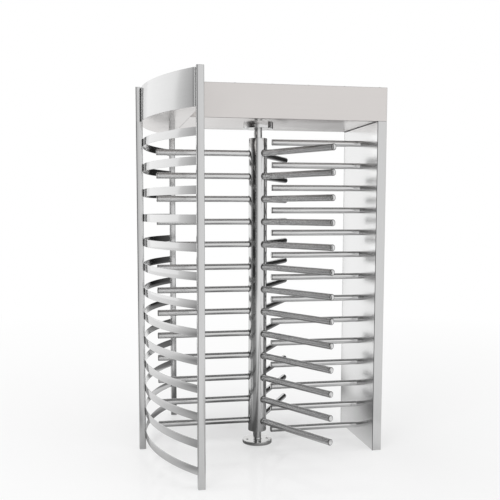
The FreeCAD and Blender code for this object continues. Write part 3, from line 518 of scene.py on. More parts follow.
# Each bead's centre is a little inside the corner where band and post meet.
band_x = CAGE_CENTRE - np.sqrt(CAGE_RADIUS**2 - CAGE_END**2)
seam_lines = [(side_high[0] - 0.8, POST / 2 - 2.2), (band_x - 0.4, CAGE_END - 0.6)]
welds = [
    upright_bead(x, side * y, level + BEAD_MARGIN, level + BAND_HEIGHT - BEAD_MARGIN)
    for level in BAND_LEVELS
    for side in (-1, 1)
    for x, y in seam_lines
]
piece("band_weld_seams", welds, "frame", pickled_weld)

# %% [markdown]
# ## Canopy
#
# The fascia is one long sheet, rolled to a circle 10 mm outside the bands, with
# a short flat return at each end. The profile of the sheet, with its dressed top
# and bottom edge, is carried along that line.

# %% Canopy fascia
FASCIA_STEP = 10
FASCIA_THICK = 2
FASCIA_EDGE = 0.7


def halfway(one, other):
    """The direction halfway between two directions, for a corner's mitre."""
    return (one + other) / np.linalg.norm(one + other)


fascia_low, fascia_high = corners("canopy_fascia")
half_sheet = FASCIA_THICK / 2
path, outward = cage_arc(CAGE_RADIUS + FASCIA_STEP - half_sheet, CAGE_END, 160)
path[0][1] += half_sheet
path[-1][1] -= half_sheet
path = chain([(POST_X, path[0][1])], path, [(POST_X, path[-1][1])])
outward = chain([(0, -1)], outward, [(0, 1)])
outward[1] = halfway(outward[1], outward[0])
outward[-2] = halfway(outward[-2], outward[-1])
middle = (fascia_low[2] + fascia_high[2]) / 2
half = (fascia_high[2] - fascia_low[2]) / 2
profile = rounded_box(half_sheet, half, FASCIA_EDGE, 3) + (0, middle)
sheet = closed_ends(carried(profile, path, outward))
piece("canopy_fascia_sheet", [sheet], "frame", brushed_canopy, ["canopy_fascia"])

# %% [markdown]
# ## Header
#
# The header is a folded tray with a lid. A fold has an outer radius of about
# one and a half times the sheet, which catches a thin line of light along every
# edge. Its plan loop is the same at each level, drawn in by the fold's curve at
# the bottom: going out along the floor, round the fold, up the wall, and back
# down inside.

# %% Header tray
SHEET = 3
FOLD = 4.5
FOLD_STEPS = 6
LEAST_CORNER = 0.3
HOUSING_HOLE = 78
shell_low, shell_high = corners("header_shell")
header_middle = (shell_low[:2] + shell_high[:2]) / 2
header_half = (shell_high[:2] - shell_low[:2]) / 2


def drawn_in(half, inset, corner):
    """The plan loop, moved in by inset; its corner arc shrinks with it, to LEAST_CORNER."""
    corner = max(corner - inset, LEAST_CORNER)
    return rounded_box(half[0] - inset, half[1] - inset, corner, FOLD_STEPS)


def ring_to_loop(radius, loop, centre):
    """Points of a circle about 0,0 in the directions of a loop's points."""
    place = loop + centre
    return radius * place / np.linalg.norm(place, axis=1)[:, None] - centre


def tray(half, centre, bottom, top):
    """Rows of plan loops: hole edge, floor, outer fold, wall, rim, inner wall, inner floor."""
    hole_edge = ring_to_loop(HOUSING_HOLE, drawn_in(half, FOLD, FOLD), centre)
    rows = [(hole_edge, bottom)]
    for inset, level in arc((FOLD, FOLD), FOLD, 270, 180, FOLD_STEPS):
        rows.append((drawn_in(half, inset, FOLD), bottom + level))
    inner = drawn_in(half, SHEET, FOLD)
    rows += [(drawn_in(half, 0, FOLD), top), (inner, top), (inner, bottom + SHEET)]
    rows.append((hole_edge, bottom + SHEET))
    return stacked(rows, centre), 1, 1


box = tray(header_half, header_middle, shell_low[2], shell_high[2])
piece("header_tray", [box], "frame", brushed_sheet, ["header_shell"])

# %% Header lid
LID_CORNER = 2
LID_EDGE = 1.6
SHADOW_GAP = 0.8
lid_low, lid_high = corners("header_lid")


def lid(half, centre, bottom, top):
    """A flat lid with a shadow gap under its rim and an eased top edge, closed at both middles."""
    outer, inner = drawn_in(half, 0, LID_CORNER), drawn_in(half, SHADOW_GAP, LID_CORNER)
    rim = bottom + SHADOW_GAP
    rows = [(outer * 0, bottom), (inner, bottom), (inner, rim), (outer, rim)]
    for inset, level in arc((LID_EDGE, -LID_EDGE), LID_EDGE, 180, 90, 4):
        rows.append((drawn_in(half, inset, LID_CORNER), top + level))
    rows.append((outer * 0, top))
    return stacked(rows, centre), 0, 1


sheet = lid(header_half, header_middle, lid_low[2], lid_high[2])
piece("header_lid_sheet", [sheet], "frame", brushed_sheet, ["header_lid"])

# %% [markdown]
# ## Screws
#
# Socket screws hold the lid, and four more hold the bearing housing from below.
# Round and hexagon are both sampled in the same directions, so that the face of
# the screw is one clean ring of quads from its rim to the socket's edge.

# %% Socket screws, and those of the lid
def socket_screw(place, axis, radius, height, key, steps=24):
    """Rows from the root along the head, over its rounded edge, to the hexagon socket and in.
    A hexagon's radius at angle t is (key / 2) / cos(t modulo 60 degrees, less 30 degrees).
    The edge takes 0.35 of the head's height, and the socket goes down to 0.35 of it."""
    axis, circle = round_axis(axis, steps)
    t = np.arange(steps) * tau / steps
    hexagon = circle * (key / 2 / np.cos(t % (tau / 6) - tau / 12))[:, None]
    edge = 0.35 * height
    rows = [(circle * 0, 0), (circle * radius, 0), (circle * radius, height - edge)]
    rows += [(circle * (radius - 0.3 * edge), height - 0.3 * edge)]
    rows += [(circle * (radius - edge), height), (hexagon, height)]
    rows += [(hexagon, 0.35 * height), (circle * 0, 0.35 * height)]
    return np.array([plan + level * axis for plan, level in rows]) + np.array(place), 0, 1


LID_SCREWS = 6
LID_SCREW = 5.2, 2.8, 3.2  # radius, height and key
LID_SIDE = 14
LID_END = 45
screws = [
    socket_screw((x, side * (header_half[1] - LID_SIDE), lid_high[2]), (0, 0, 1), *LID_SCREW)
    for x in np.linspace(lid_low[0] + LID_END, lid_high[0] - LID_END, LID_SCREWS)
    for side in (-1, 1)
]
piece("header_lid_screws", screws, "frame", machined)

# %% [markdown]
# ## Side panel
#
# The panel's inner skin is a bright mirror sheet. Its cover is a folded pan
# whose front and rear flanges reach forward to the skin. A thin dark bead lies
# in the joint where the two meet, and in the one under the header: it paints the
# shadow gap there as a fine dark line. The screws sit in the rear flange alone,
# so the side towards the walker is clean.

# %% Side panel skin and cover
SKIN_EDGE = 0.7
PAN_WALL = 2
PAN_FOLD = 4
skin_low, skin_high = corners("side_panel_skin")
cover_low, cover_high = corners("side_panel_cover")
skin_half = (skin_high[:2] - skin_low[:2]) / 2
skin_loop = rounded_box(*skin_half, SKIN_EDGE, 3)
skin_middle = ((skin_low[0] + skin_high[0]) / 2, 0)
skin = closed_ends(upright(skin_loop, [skin_low[2], skin_high[2]], skin_middle))
piece("side_panel_mirror", [skin], "frame", mirror_sheet, ["side_panel_skin"])


def pan_loop(low, high, wall, fold):
    """A plan of the folded cover: out along one flange, across the back and home, then inside."""
    x0, x1, y1 = low[0], high[0], high[1]
    front, rear = (x1 - fold, -y1 + fold), (x1 - fold, y1 - fold)
    return chain(
        [(x0, -y1)],
        arc(front, fold, -90, 0, FOLD_STEPS),
        arc(rear, fold, 0, 90, FOLD_STEPS),
        [(x0, y1), (x0, y1 - wall)],
        arc(rear, fold - wall, 90, 0, FOLD_STEPS),
        arc(front, fold - wall, 0, -90, FOLD_STEPS),
        [(x0, -y1 + wall)],
    )


pan = pan_loop(cover_low, cover_high, PAN_WALL, PAN_FOLD)
half = len(pan) // 2
levels = [cover_low[2], cover_high[2]]
pan_grid = chain(upright(pan[:half], levels), upright(pan[half:][::-1], levels[::-1]))
tips = [(pan_grid[[0, 1, 3, 2], k].reshape(2, 2, 3), 0, 0) for k in (0, -1)]
grids = [(pan_grid, 1, 0), *tips]
piece("side_panel_pan", grids, "frame", brushed_post, ["side_panel_cover"])

# %% Painted shadow gaps in the joints
JOINT_BEAD = 1.7, 1.5, 1.2  # half the width, half the depth and the roundness
TOP_BEAD = 2.2, 2.2, 1.6
TOP_BEAD_DROP = 1.5
joint_loop = rounded_box(*JOINT_BEAD, 3)
beads = []
# An upright bead's middle is a little inside the corner of skin and flange.
for side in (-1, 1):
    place = (skin_high[0] - 0.5, side * (skin_high[1] - 0.3))
    beads.append(closed_ends(upright(joint_loop, [skin_low[2], skin_high[2]], place)))
top_joint = np.array([skin_low[:2], (skin_low[0], skin_high[1])])
inward = np.array([[-1, 0], [-1, 0]])
top_loop = rounded_box(*TOP_BEAD, 3) + (0, skin_high[2] - TOP_BEAD_DROP)
beads.append(closed_ends(carried(top_loop, top_joint, inward)))
# These dark beads paint the shadow gap along each joint as a fine dark line.
piece("side_panel_painted_gap_shade", beads, "frame", sealant)

# %% Panel screws
PANEL_SCREWS = 7
PANEL_SCREW = 4.6, 2.2, 3
FROM_BACK = 24
PANEL_END = 90
screws = [
    socket_screw((cover_high[0] - FROM_BACK, cover_high[1], z), (0, 1, 0), *PANEL_SCREW)
    for z in np.linspace(PANEL_END, cover_high[2] - PANEL_END, PANEL_SCREWS)
]
piece("side_panel_screws", screws, "frame", machined)

# %% [markdown]
# ## Bars, arms and column
#
# Each bar is a tube with a flat disc welded into its end, so the end shows a
# bright flat face inside a rounded, darker weld. A lathe makes it: the profile
# runs from the middle of the end, over the rounded edge, along the tube.

# %% Comb bars
comb_low, comb_high = corners("comb_bars")
arm_low, arm_high = corners("wing_left_arms")
ARM = arm_high[1]
ARM_COUNT = 13
ARM_PITCH = (arm_high[2] - arm_low[2] - 2 * ARM) / (ARM_COUNT - 1)
ARM_LEVELS = arm_low[2] + ARM + ARM_PITCH * np.arange(ARM_COUNT)
COMB_LEVELS = comb_low[2] + ARM + ARM_PITCH * np.arange(ARM_COUNT + 1)
TUBE_SIDES = 48
ROUNDING = 5
DISC_SINK = 0.6
SEAM = 2.8
SEAM_INSET = 2.7


def free_end(radius):
    """From the middle of the end disc, which is a little sunk, round the edge to the side."""
    face = radius - ROUNDING
    edge = arc((face, ROUNDING), ROUNDING, 270, 360, 5)
    return chain([(0, DISC_SINK), (face - 1, DISC_SINK)], edge)


def end_seam(place, axis, radius):
    """The weld round an end disc: a thin ring that lies half sunk where disc and tube meet."""
    return turned(arc((radius - SEAM_INSET, SEAM), SEAM, 0, 315, 7), place, axis, 40, closed=1)


def welded_end(radius, end, flare=3.0):
    """The tube's last bit before a sheet, with a hollow weld round it that meets the sheet."""
    hollow = arc((radius + flare, end - flare), flare, 180, 90, 4)
    return chain(hollow, [(0, end)])


length = comb_high[0] - comb_low[0]
profile = chain(free_end(ARM), welded_end(ARM, length))
bars = [turned(profile, (comb_low[0], 0, level), (1, 0, 0), TUBE_SIDES) for level in COMB_LEVELS]
piece("comb_round_bars", bars, "frame", polished_comb, ["comb_bars"])
seams = [end_seam((comb_low[0], 0, level), (1, 0, 0), ARM) for level in COMB_LEVELS]
piece("comb_end_welds", seams, "frame", pickled_weld)

# %% [markdown]
# An arm is cut to the column's roundness and welded all round. The weld's centre
# line lies on both tubes at once, and a small circle is carried along it.

# %% Wings of arms
REACH = -arm_low[0]
COLUMN = corners("rotor_column")[1][0]
COLUMN_WALL = 3
ROOT = COLUMN - COLUMN_WALL / 2


def turned_about_z(points, azimuth):
    """Points turned about the column by an angle in degrees."""
    a = radians(azimuth)
    return points @ np.array([[cos(a), sin(a), 0], [-sin(a), cos(a), 0], [0, 0, 1]])


def arm_seam(azimuth, level, radius, bead=2.4, steps=48):
    """A weld's centre line is (sqrt(C^2 - (r cos t)^2), r cos t, r sin t), on both cylinders. A
    small circle goes along it, and its radius swells as bead * (1 + 0.07 * cos(16 t))."""
    t = np.arange(steps) * tau / steps
    r = radius + 0.3 * bead
    line = np.stack([np.sqrt(COLUMN**2 - (r * np.cos(t)) ** 2), r * np.cos(t), r * np.sin(t)], -1)
    out = np.stack([0 * t, np.cos(t), np.sin(t)], -1)
    s = np.arange(8)[:, None] * tau / 8
    girth = bead * (1 + 0.07 * np.cos(16 * t))[:, None, None]
    ring = np.cos(s) * out[:, None] + np.sin(s) * np.array([1.0, 0, 0])
    return turned_about_z(line[:, None] + girth * ring, azimuth) + (0, 0, level), 1, 1


WINGS = {"left": 180, "front": 300, "rear": 60}
profile = chain(free_end(ARM), [(ARM, REACH - ROOT), (0, REACH - ROOT)])
for name, azimuth in WINGS.items():
    a = radians(azimuth)
    out = np.array([cos(a), sin(a), 0])
    tips = [REACH * out + (0, 0, level) for level in ARM_LEVELS]
    arms = [turned(profile, tip, -out, TUBE_SIDES) for tip in tips]
    tube = stainless(
        f"polished_{name}_wing_tube", *TUBE_TONES, 0.2, 0.01, 0.005, grain=(0, 0, -a), along="x"
    )
    piece(f"wing_{name}_tubes", arms, "rotor", tube, [f"wing_{name}_arms"])
    seams = [arm_seam(azimuth, level, ARM) for level in ARM_LEVELS]
    seams += [end_seam(tip, -out, ARM) for tip in tips]
    piece(f"wing_{name}_welds", seams, "rotor", pickled_weld)

# %% [markdown]
# The column is a polished pipe, closed at its top by a round plate that the
# shaft passes through. Both pipe ends are rounded by hand grinding.

# %% Column and its top plate
EASE = 2.0
PLATE_PLAY = 0.1
column_low, column_high = corners("rotor_column")
bottom, top = column_low[2], column_high[2]
inside = COLUMN - COLUMN_WALL
column = chain(
    [(inside, bottom), (COLUMN - EASE, bottom)],
    arc((COLUMN - EASE, bottom + EASE), EASE, 270, 360, 4),
    arc((COLUMN - EASE, top - EASE), EASE, 0, 90, 4),
    [(inside, top), (inside, bottom)],
)
tube = turned(column, steps=128)
piece("column_tube", [tube], "rotor", polished_upright, ["rotor_column"])
SHAFT = corners("upper_shaft")[1][0]
plate_low, plate_high = corners("column_top_plate")
bore, edge, face = SHAFT + PLATE_PLAY, inside - PLATE_PLAY, plate_high[2]
# Out along the underside, up the edge, over the welded slope to the face, and down at the shaft.
plate = [(bore, plate_low[2]), (edge, plate_low[2]), (edge, face - 2), (inside - 1.6, face - 1.2)]
plate += [(inside - 3.2, face), (SHAFT + 4, face), (SHAFT + 1.2, face - 0.4), (bore, face - 1.5)]
plate = turned(plate + plate[:1])
piece("column_end_plate", [plate], "rotor", ground_plate, ["column_top_plate"])

# %% [markdown]
# ## Flanges
#
# A round plate with bolt holes is cut into as many sectors as it has holes. In
# each sector, a grid runs from the sector's outline in to the hole's edge, down
# the hole's wall, and out again below, so the plate is one clean surface with
# true round holes. The rim and the bore are one lathe shape with the same steps.

# %% A plate with holes
ARC_STEPS = 24
BOLTS = 4
BOLT_CIRCLE = 64
BOLT_HOLE = 8
BOLT_SCREW = 7.4
BOLT_KEY = 6
CHAMFER = 0.8
RIM = 2.0


def sector_outline(inner, outer, half_angle, sides=6):
    """The closed outline of one sector about the x axis: outer arc, side, inner arc, side."""
    a = radians(half_angle)
    share = np.linspace(0, 1, sides + 1)[:-1, None]
    up = np.array([[cos(a), sin(a)]])
    down = np.array([[cos(a), -sin(a)]])
    return chain(
        arc((0, 0), outer, -half_angle, half_angle, ARC_STEPS)[:-1],
        (outer + (inner - outer) * share) * up,
        arc((0, 0), inner, half_angle, -half_angle, ARC_STEPS)[:-1],
        (inner + (outer - inner) * share) * down,
    )


def holed_plate(inner, outer, face, wall):
    """Sectors with one hole each. face is the level of the open side; wall lists the rows
    (radius, level) down the hole, and ends on the other face, or on the hole's closed end."""
    outline = sector_outline(inner, outer, 180 / BOLTS)
    reach = outline - (BOLT_CIRCLE, 0)
    direction = reach / np.linalg.norm(reach, axis=1)[:, None]
    first = (BOLT_CIRCLE, 0) + wall[0][0] * direction
    rows = [(outline + (first - outline) * s, face) for s in (0, 1 / 3, 2 / 3)]
    rows += [((BOLT_CIRCLE, 0) + radius * direction, level) for radius, level in wall]
    if wall[-1][0] > 0:
        last = rows[-1]
        rows += [(last[0] + (outline - last[0]) * s, last[1]) for s in (1 / 3, 2 / 3, 1)]
    points = stacked(rows)
    return [(turned_about_z(points, 360 * k / BOLTS), 0, 1) for k in range(BOLTS)]


def bolt_screws(level, up, height):
    """A socket screw in each hole, with its root at the level; up is 1 or -1."""
    angles = [radians(360 * k / BOLTS) for k in range(BOLTS)]
    places = [(BOLT_CIRCLE * cos(a), BOLT_CIRCLE * sin(a), level) for a in angles]
    return [socket_screw(place, (0, 0, up), BOLT_SCREW, height, BOLT_KEY) for place in places]

# %% Floor flange
flange_low, flange_high = corners("floor_flange")
FLANGE = flange_high[0]
BORE = SHAFT + 0.2
ANCHOR_SINK = 9
top, bottom = flange_high[2], flange_low[2]
wall = [(BOLT_HOLE + CHAMFER, top), (BOLT_HOLE, top - CHAMFER)]
wall += [(BOLT_HOLE, bottom + CHAMFER), (BOLT_HOLE + CHAMFER, bottom)]
grids = holed_plate(BORE, FLANGE - RIM, top, wall)
rim = arc((FLANGE - RIM, top - RIM), RIM, 90, 0, 4)
rim = chain(rim, [(FLANGE, bottom), (FLANGE - RIM, bottom)])
grids.append(turned(rim, steps=BOLTS * ARC_STEPS))
grids.append(turned([(BORE, top), (BORE, bottom)], steps=BOLTS * ARC_STEPS))
piece("floor_flange_plate", grids, "frame", ground_plate, ["floor_flange"])
anchors = bolt_screws(0, 1, top - ANCHOR_SINK)
piece("floor_anchor_screws", anchors, "frame", screw_metal)

# %% [markdown]
# The stub is the fixed bar on which the column stands. It is welded to the
# flange, which gives it a hollow fillet at its foot, and its end is turned down
# to a spigot that centres the bearing.

# %% Floor stub
SPIGOT = 15
FILLET = 5
WELD_LIFT = 0.05
seat, end = corners("thrust_race_fixed")[0][2], corners("floor_stub")[1][2]
stub = chain(
    [(0, 0), (SHAFT, 0), (SHAFT, top), (SHAFT + FILLET, top + WELD_LIFT)],
    arc((SHAFT + FILLET, top + FILLET), FILLET, 270, 180, 5),
    [(SHAFT, seat - 1), (SHAFT - 1, seat), (SPIGOT, seat)],
    [(SPIGOT, end - 1), (SPIGOT - 1, end), (0, end)],
)
stub = turned(stub, steps=64)
piece("floor_stub_bar", [stub], "frame", polished_upright, ["floor_stub"])

# %% [markdown]
# The upper housing has the same bolt circle in its underside. Its holes are
# drilled part way, and the screws sit deep in them. Its neck goes up through the
# header's tray to the bearing.

# %% Upper housing and its screws
HOLE_DEPTH = 22
DRILL_POINT = 2
ROOT_GAP = 3
SCREW_SINK = 5
EASED = 0.6
housing_low, housing_high = corners("upper_housing")
ring_low, ring_high = corners("upper_bearing_outer_ring")
low, high = housing_low[2], housing_high[2]
lip = SHAFT + 0.6
neck = HOUSING_HOLE - 0.3
wall = [(BOLT_HOLE + CHAMFER, low), (BOLT_HOLE, low + CHAMFER)]
wall += [(BOLT_HOLE, low + HOLE_DEPTH - DRILL_POINT), (0, low + HOLE_DEPTH)]
grids = holed_plate(lip + CHAMFER, FLANGE - RIM, low, wall)
body = chain(
    arc((FLANGE - RIM, low + RIM), RIM, 270, 360, 4),
    [(FLANGE, SOFFIT - EASED), (FLANGE - EASED, SOFFIT), (neck, SOFFIT), (neck, high)],
    [(ring_high[0], high), (ring_high[0], ring_low[2]), (lip, ring_low[2])],
    [(lip, low + CHAMFER), (lip + CHAMFER, low)],
)
grids.append(turned(body, steps=BOLTS * ARC_STEPS))
piece("upper_housing_body", grids, "frame", polished_upright, ["upper_housing"])
root = HOLE_DEPTH - ROOT_GAP
screws = bolt_screws(low + root, -1, root - SCREW_SINK)
piece("housing_screws", screws, "frame", screw_metal)

# %% [markdown]
# ## Floor, lamps and camera
#
# The floor and the background are white, as in a product studio. The floor is a
# matt sheet with a faint gloss. Away from the turnstile it fades into the white
# background: there it glows at a strength of 1, for the camera and for whatever
# reflects it, and it gives no light of its own to the parts. The world is the
# same white to the camera and in reflections, and lights the parts with 0.77.

# %% Floor
FLOOR_HALF = 30
FLOOR_GLOSS = 0.08
FADE_SHIFT = (0.1, -0.35, 0)
FADE_REACH = 6
FADE_POWER = 0.32
WHITE = (1, 1, 1, 1)


def staged(name, points, quads, finish):
    """A studio surface from its points in metres."""
    mesh = bpy.data.meshes.new(name)
    mesh.from_pydata(points, [], quads)
    thing = linked(name, mesh)
    mesh.materials.append(finish)
    return thing


def seen_directly(tree):
    """1 for camera, glossy and transmission rays, and 0 for the rays that carry light."""
    ray = add(tree, "LightPath").outputs
    pair = {0: ray["Is Camera Ray"], 1: ray["Is Glossy Ray"]}
    seen = add(tree, "Math", pair, operation="MAXIMUM")
    pair = {0: seen, 1: ray["Is Transmission Ray"]}
    return add(tree, "Math", pair, operation="MAXIMUM")


floor_finish, tree, place = new_finish("white_studio_floor")
matt = add(tree, "BsdfDiffuse", {"Color": srgb("#f6f6f6")})
gloss = add(tree, "BsdfGlossy", {"Color": WHITE, "Roughness": 0.04})
sheet = add(tree, "MixShader", {0: FLOOR_GLOSS, 1: matt, 2: gloss})
place = add(tree, "Mapping", {"Vector": place, "Location": FADE_SHIFT})
distance = add(tree, "VectorMath", {0: place}, operation="LENGTH").outputs["Value"]
fade = add(tree, "MapRange", {"Value": distance, "From Min": 0, "From Max": FADE_REACH})
fade = add(tree, "Math", {0: fade, 1: FADE_POWER}, operation="POWER")
fade = add(tree, "Math", {0: fade, 1: seen_directly(tree)}, operation="MULTIPLY")
white = add(tree, "Emission", {"Color": WHITE, "Strength": 1.0})
surface = add(tree, "MixShader", {0: fade, 1: sheet, 2: white})
add(tree, "OutputMaterial", {"Surface": surface})
square = [(-1, -1, 0), (1, -1, 0), (1, 1, 0), (-1, 1, 0)]
staged("studio_floor", FLOOR_HALF * np.array(square), [(0, 1, 2, 3)], floor_finish)
print("floor:", 2 * FLOOR_HALF, "m each way")

# %% World
ROOM_LIGHT = 0.77
world = bpy.data.worlds.new("studio")
bpy.context.scene.world = world
tree = emptied(world)
ambient = add(tree, "Background", {"Color": WHITE, "Strength": ROOM_LIGHT})
white = add(tree, "Background", {"Color": WHITE, "Strength": 1.0})
both = add(tree, "MixShader", {0: seen_directly(tree), 1: ambient, 2: white})
add(tree, "OutputWorld", {"Surface": both})
print("room light:", ROOM_LIGHT, "of the white that is seen")

# %% [markdown]
# Polished steel shows what stands round it. A white room alone would leave it
# flat and grey, so a photographer hangs nets and flags round the object: thin
# black cloth, which lets through only part of the light. Here they are one
# round tent, over the floor and up to the zenith, and a small sleeve round the
# column's foot, and only reflections see them. Each of their points holds a
# tone: the share of the white that it lets through. The tables give that tone
# by azimuth, in degrees from +Y towards +X.

# %% Tones by azimuth
WALL_TONES = [
    (-50, 1), (-66, 0.93), (-80, 0.6), (-88, 0.4), (-97, 0.2), (-104, 0.08), (-115, 0.03),
    (-130, 0.03), (-142, 0.08), (-155, 0.24), (-168, 0.6), (-176, 0.9), (176, 1), (104, 1),
    (97, 0.5), (90, 0.15), (69, 0.12), (40, 0.02), (29, 0.02), (24, 0.8), (20, 1),
]
FLOOR_TONES = [
    (-55, 1), (-66, 0.93), (-80, 0.6), (-88, 0.35), (-97, 0.2), (-142, 0.2), (-152, 0.5),
    (-160, 0.8), (-170, 1), (104, 1), (95, 0.6), (88, 0.2), (60, 0.15), (38, 0.2), (22, 0.3),
    (12, 0.85), (6, 1),
]
LOW_TONES = [
    (-6, 1), (8, 0.83), (11, 0.77), (13.5, 0.7), (16, 0.67), (19, 0.54), (28, 0.5), (40, 1),
]
CORNER_TONES = [(-30, 1), (-45, 0.9), (-70, 0.7), (-85, 0.5), (-110, 0.5), (-140, 0.7), (-160, 1)]
COLUMN_TONES = [
    (-124, 1), (-138, 0.45), (-160, 0.45), (-174, 1), (144, 1), (136, 0.6), (90, 0.6), (70, 1),
]


def tone_at(azimuth, tones):
    """The tone at each azimuth, straight between the given ones and round past 360 degrees."""
    at, tone = np.array(tones, float).T
    return np.interp(azimuth, at, tone, period=360)


def ramp(value, start, end):
    """0 up to the start, 1 from the end on, and straight between them."""
    return np.clip((value - start) / (end - start), 0, 1)


azimuth = np.arange(0, 360, 3.0)
direction = np.stack([np.sin(np.radians(azimuth)), np.cos(np.radians(azimuth))], -1)
print("directions round the tent:", len(azimuth))

# %% [markdown]
# The floor's tone is a product of shares, in metres from the column. It is
# darker near the turnstile, most of all in a patch behind the column. Two dark
# lanes lie in front, one for the arms and one for the comb bars: a round tube
# mirrors the floor in its underside, so a dark strip of floor gives each tube
# its dark lower edge. They fan out from a point 4.5 m behind. Farther out the
# floor takes the tones of its azimuth, and beside the front post those of the
# azimuth about that post.

# %% Tones of the floor
TENT = 14
NEAR = [0.3, 0.7, 0.9, 2, 3.5], [0.6, 0.7, 0.85, 0.93, 1]
PATCH = (-0.15, 0.35)
PATCH_HALF = 0.3
PATCH_EDGE = [0, 0.25, 0.5], [0.3, 0.8, 1]
FAN_X = -1
FAN_REACH = 4.5
ARM_LANE = [-0.42, -0.3, -0.15, -0.04], [0, 1, 1, 0]
ARM_LANE_DEPTH = [-3.2, -1.8, -0.1, 0.1], [0, 0.55, 0.6, 0]
BAR_LANE = [0.05, 0.15, 0.42, 0.54], [0, 1, 1, 0]
BAR_LANE_DEPTH = [-3.6, -2.6, -1.5, -0.6, 0.1], [0, 0.7, 0.42, 0.2, 0]
REAR_RIGHT = [0, 20, 60, 90], [0, 1, 1, 0]
CORNER = (-0.5, -0.6)

radius = chain([0.01], np.geomspace(0.1, TENT, 60))
x, y = np.moveaxis(radius[:, None, None] * direction, -1, 0)
near = np.interp(radius, *NEAR)[:, None]
# To the right, the near tones are up to 0.12 lighter.
near = near + 0.12 * ramp(x, 0, 0.5) * (near < 0.88)
beyond_x = np.maximum(abs(x - PATCH[0]) - PATCH_HALF, 0)
beyond_y = np.maximum(abs(y - PATCH[1]) - PATCH_HALF, 0)
patch = np.interp(np.hypot(beyond_x, beyond_y), *PATCH_EDGE)
lane = (x - FAN_X) * FAN_REACH / (FAN_REACH + np.maximum(-y, 0)) + FAN_X
arm_lane = np.interp(lane, *ARM_LANE) * np.interp(y, *ARM_LANE_DEPTH)
bar_lane = np.interp(lane, *BAR_LANE) * np.interp(y, *BAR_LANE_DEPTH)
# The far tones set in from 1.2 to 3.5 m, and at the rear right from 0.7 to 1.5 m.
rear_right = np.interp(azimuth, *REAR_RIGHT)
far = ramp(radius[:, None], 1.2 - 0.5 * rear_right, 3.5 - 2 * rear_right)
corner = np.degrees(np.arctan2(x - CORNER[0], y - CORNER[1]))
aside = (1 - far) * ramp(np.hypot(x - CORNER[0], y - CORNER[1]), 0.08, 0.3)
# From 5 to 10 m out, the floor goes over to the low tones of the wall.
edge = ramp(radius, 5, 10)[:, None]
low_tone = tone_at(azimuth, WALL_TONES) * tone_at(azimuth, LOW_TONES)
sector = (1 - edge) * tone_at(azimuth, FLOOR_TONES) + edge * low_tone
floor_tone = near * patch * (1 - arm_lane - bar_lane) * (1 - far * (1 - sector))
floor_tone *= 1 - aside * (1 - tone_at(corner, CORNER_TONES))
print("floor tones from", floor_tone.min().round(3), "to", floor_tone.max())

# %% [markdown]
# The wall goes on from the floor's edge. Up to 9 degrees above the horizon it
# changes from its low tones to those of the table. From about 20 degrees at the
# back, and 35 elsewhere, it turns dark within 18 degrees: that is the ceiling.

# %% Tones of the wall and the ceiling
CEILING_START = [0, 25, 45, 120, 150, 220, 250, 335], [20, 20, 35, 35, 36, 36, 35, 35]
CEILING_BLEND = 18
height = np.linspace(3, 90, 30)
start = np.interp(azimuth, *CEILING_START)
ceiling = ramp(height[:, None], start, start + CEILING_BLEND)
ceiling_tone = 0.16 + 0.05 * direction[:, 1]
low = 1 - ramp(height, 4, 9)[:, None]
wall_tone = low * low_tone + (1 - low) * tone_at(azimuth, WALL_TONES)
wall_tone = (1 - ceiling) * wall_tone + ceiling * ceiling_tone
print("wall tones from", wall_tone.min().round(3), "to", wall_tone.max())

# %% [markdown]
# The cloth is a clear shader, tinted by the tone. It works on its inner side
# alone, so that nothing shades what comes in from outside.

# %% Hang the nets
NET_LIFT = 0.002
SLEEVE = 0.075
SLEEVE_LEVELS = np.array([0.025, 0.25, 0.5, 0.6, 0.7, 0.85])
SLEEVE_STRENGTH = np.array([0.3, 0.8, 0.9, 0.6, 0.3, 0])
net = bpy.data.materials.new("black_studio_net")
tree = emptied(net)
tone = add(tree, "Attribute", attribute_name="tone")
held = add(tree, "BsdfTransparent", {"Color": tone.outputs["Fac"]})
clear = add(tree, "BsdfTransparent")
outside = add(tree, "NewGeometry").outputs["Backfacing"]
one_sided = add(tree, "MixShader", {0: outside, 1: held, 2: clear})
add(tree, "OutputMaterial", {"Surface": one_sided})


def hung(name, radii, levels, tones):
    """A net of rings about the column, in metres, with the tone at each point."""
    plan = radii[:, None, None] * direction
    height = np.broadcast_to(levels[:, None, None], (*plan.shape[:2], 1))
    points = np.concatenate([plan, height], -1)
    quads = grid_quads(len(radii), len(azimuth), wrap_columns=1).tolist()
    cloth = staged(name, points.reshape(-1, 3), quads, net)
    cloth.data.attributes.new("tone", "FLOAT", "POINT").data.foreach_set("value", tones.ravel())
    for ray in ("camera", "diffuse", "shadow", "transmission"):
        setattr(cloth, f"visible_{ray}", False)
    print(f"{name}: {len(quads)} faces")


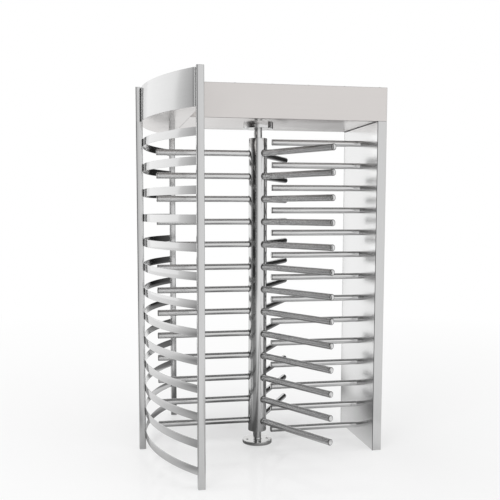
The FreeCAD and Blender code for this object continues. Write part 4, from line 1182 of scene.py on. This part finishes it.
radii = chain(radius, TENT * np.cos(np.radians(height)))
levels = chain(0 * radius + NET_LIFT, TENT * np.sin(np.radians(height)))
hung("studio_net", radii, levels, chain(floor_tone, wall_tone))
sleeve_tone = 1 - SLEEVE_STRENGTH[:, None] * (1 - tone_at(azimuth, COLUMN_TONES))
hung("column_net", 0 * SLEEVE_LEVELS + SLEEVE, SLEEVE_LEVELS, sleeve_tone)

# %% [markdown]
# Three soft boxes light the turnstile without being seen. A fourth, a large
# window at the rear left, is there for the reflections: it glows at a fifth of
# the white. A square lamp of side s with the radiance L gives L * pi * s^2 watts.

# %% Lamps
AIM = Vector((0, 0, 1))
WINDOW = 8
WINDOW_GLOW = 0.2


def softbox(name, place, size, watts):
    """A square area lamp that faces the middle of the turnstile."""
    lamp = bpy.data.lights.new(name, "AREA")
    lamp.size = size
    lamp.energy = watts
    thing = linked(name, lamp)
    thing.location = place
    thing.rotation_euler = (AIM - Vector(place)).to_track_quat("-Z", "Y").to_euler()
    thing.visible_glossy = False
    print(f"{name}: {watts:.0f} W")
    return thing


softbox("softbox_front_left", (-4, -5, 5), 3, 110)
softbox("softbox_front_right", (4, -4, 5), 3, 70)
softbox("softbox_rear", (-1, 5, 6), 3, 50)
window = softbox("softbox_rear_left", (-8.5, 7.5, 2.6), WINDOW, WINDOW_GLOW * np.pi * WINDOW**2)
window.visible_glossy = True
window.visible_camera = False

# %% [markdown]
# The camera is the one that was fitted to the photograph's straight lines: 4.6 m
# from the column, at eye height, looking a little down and to the right. The
# photograph is a crop, so the lens is shifted.

# %% Camera
LOOKS_DOWN = 5.235
LOOKS_RIGHT = 10.504
camera = bpy.data.cameras.new("photograph_camera")
camera.sensor_width = 36
camera.lens = 52.675
camera.shift_x = 0.03046
camera.shift_y = 0.0575
eye = linked("photograph_camera", camera)
eye.location = (-0.9762, -4.47995, 1.4698)
eye.rotation_euler = (radians(90 - LOOKS_DOWN), 0, radians(-LOOKS_RIGHT))
bpy.context.scene.camera = eye
bpy.context.scene.view_settings.view_transform = "Standard"
print("lens", round(camera.lens, 1), "mm on", camera.sensor_width, "mm")
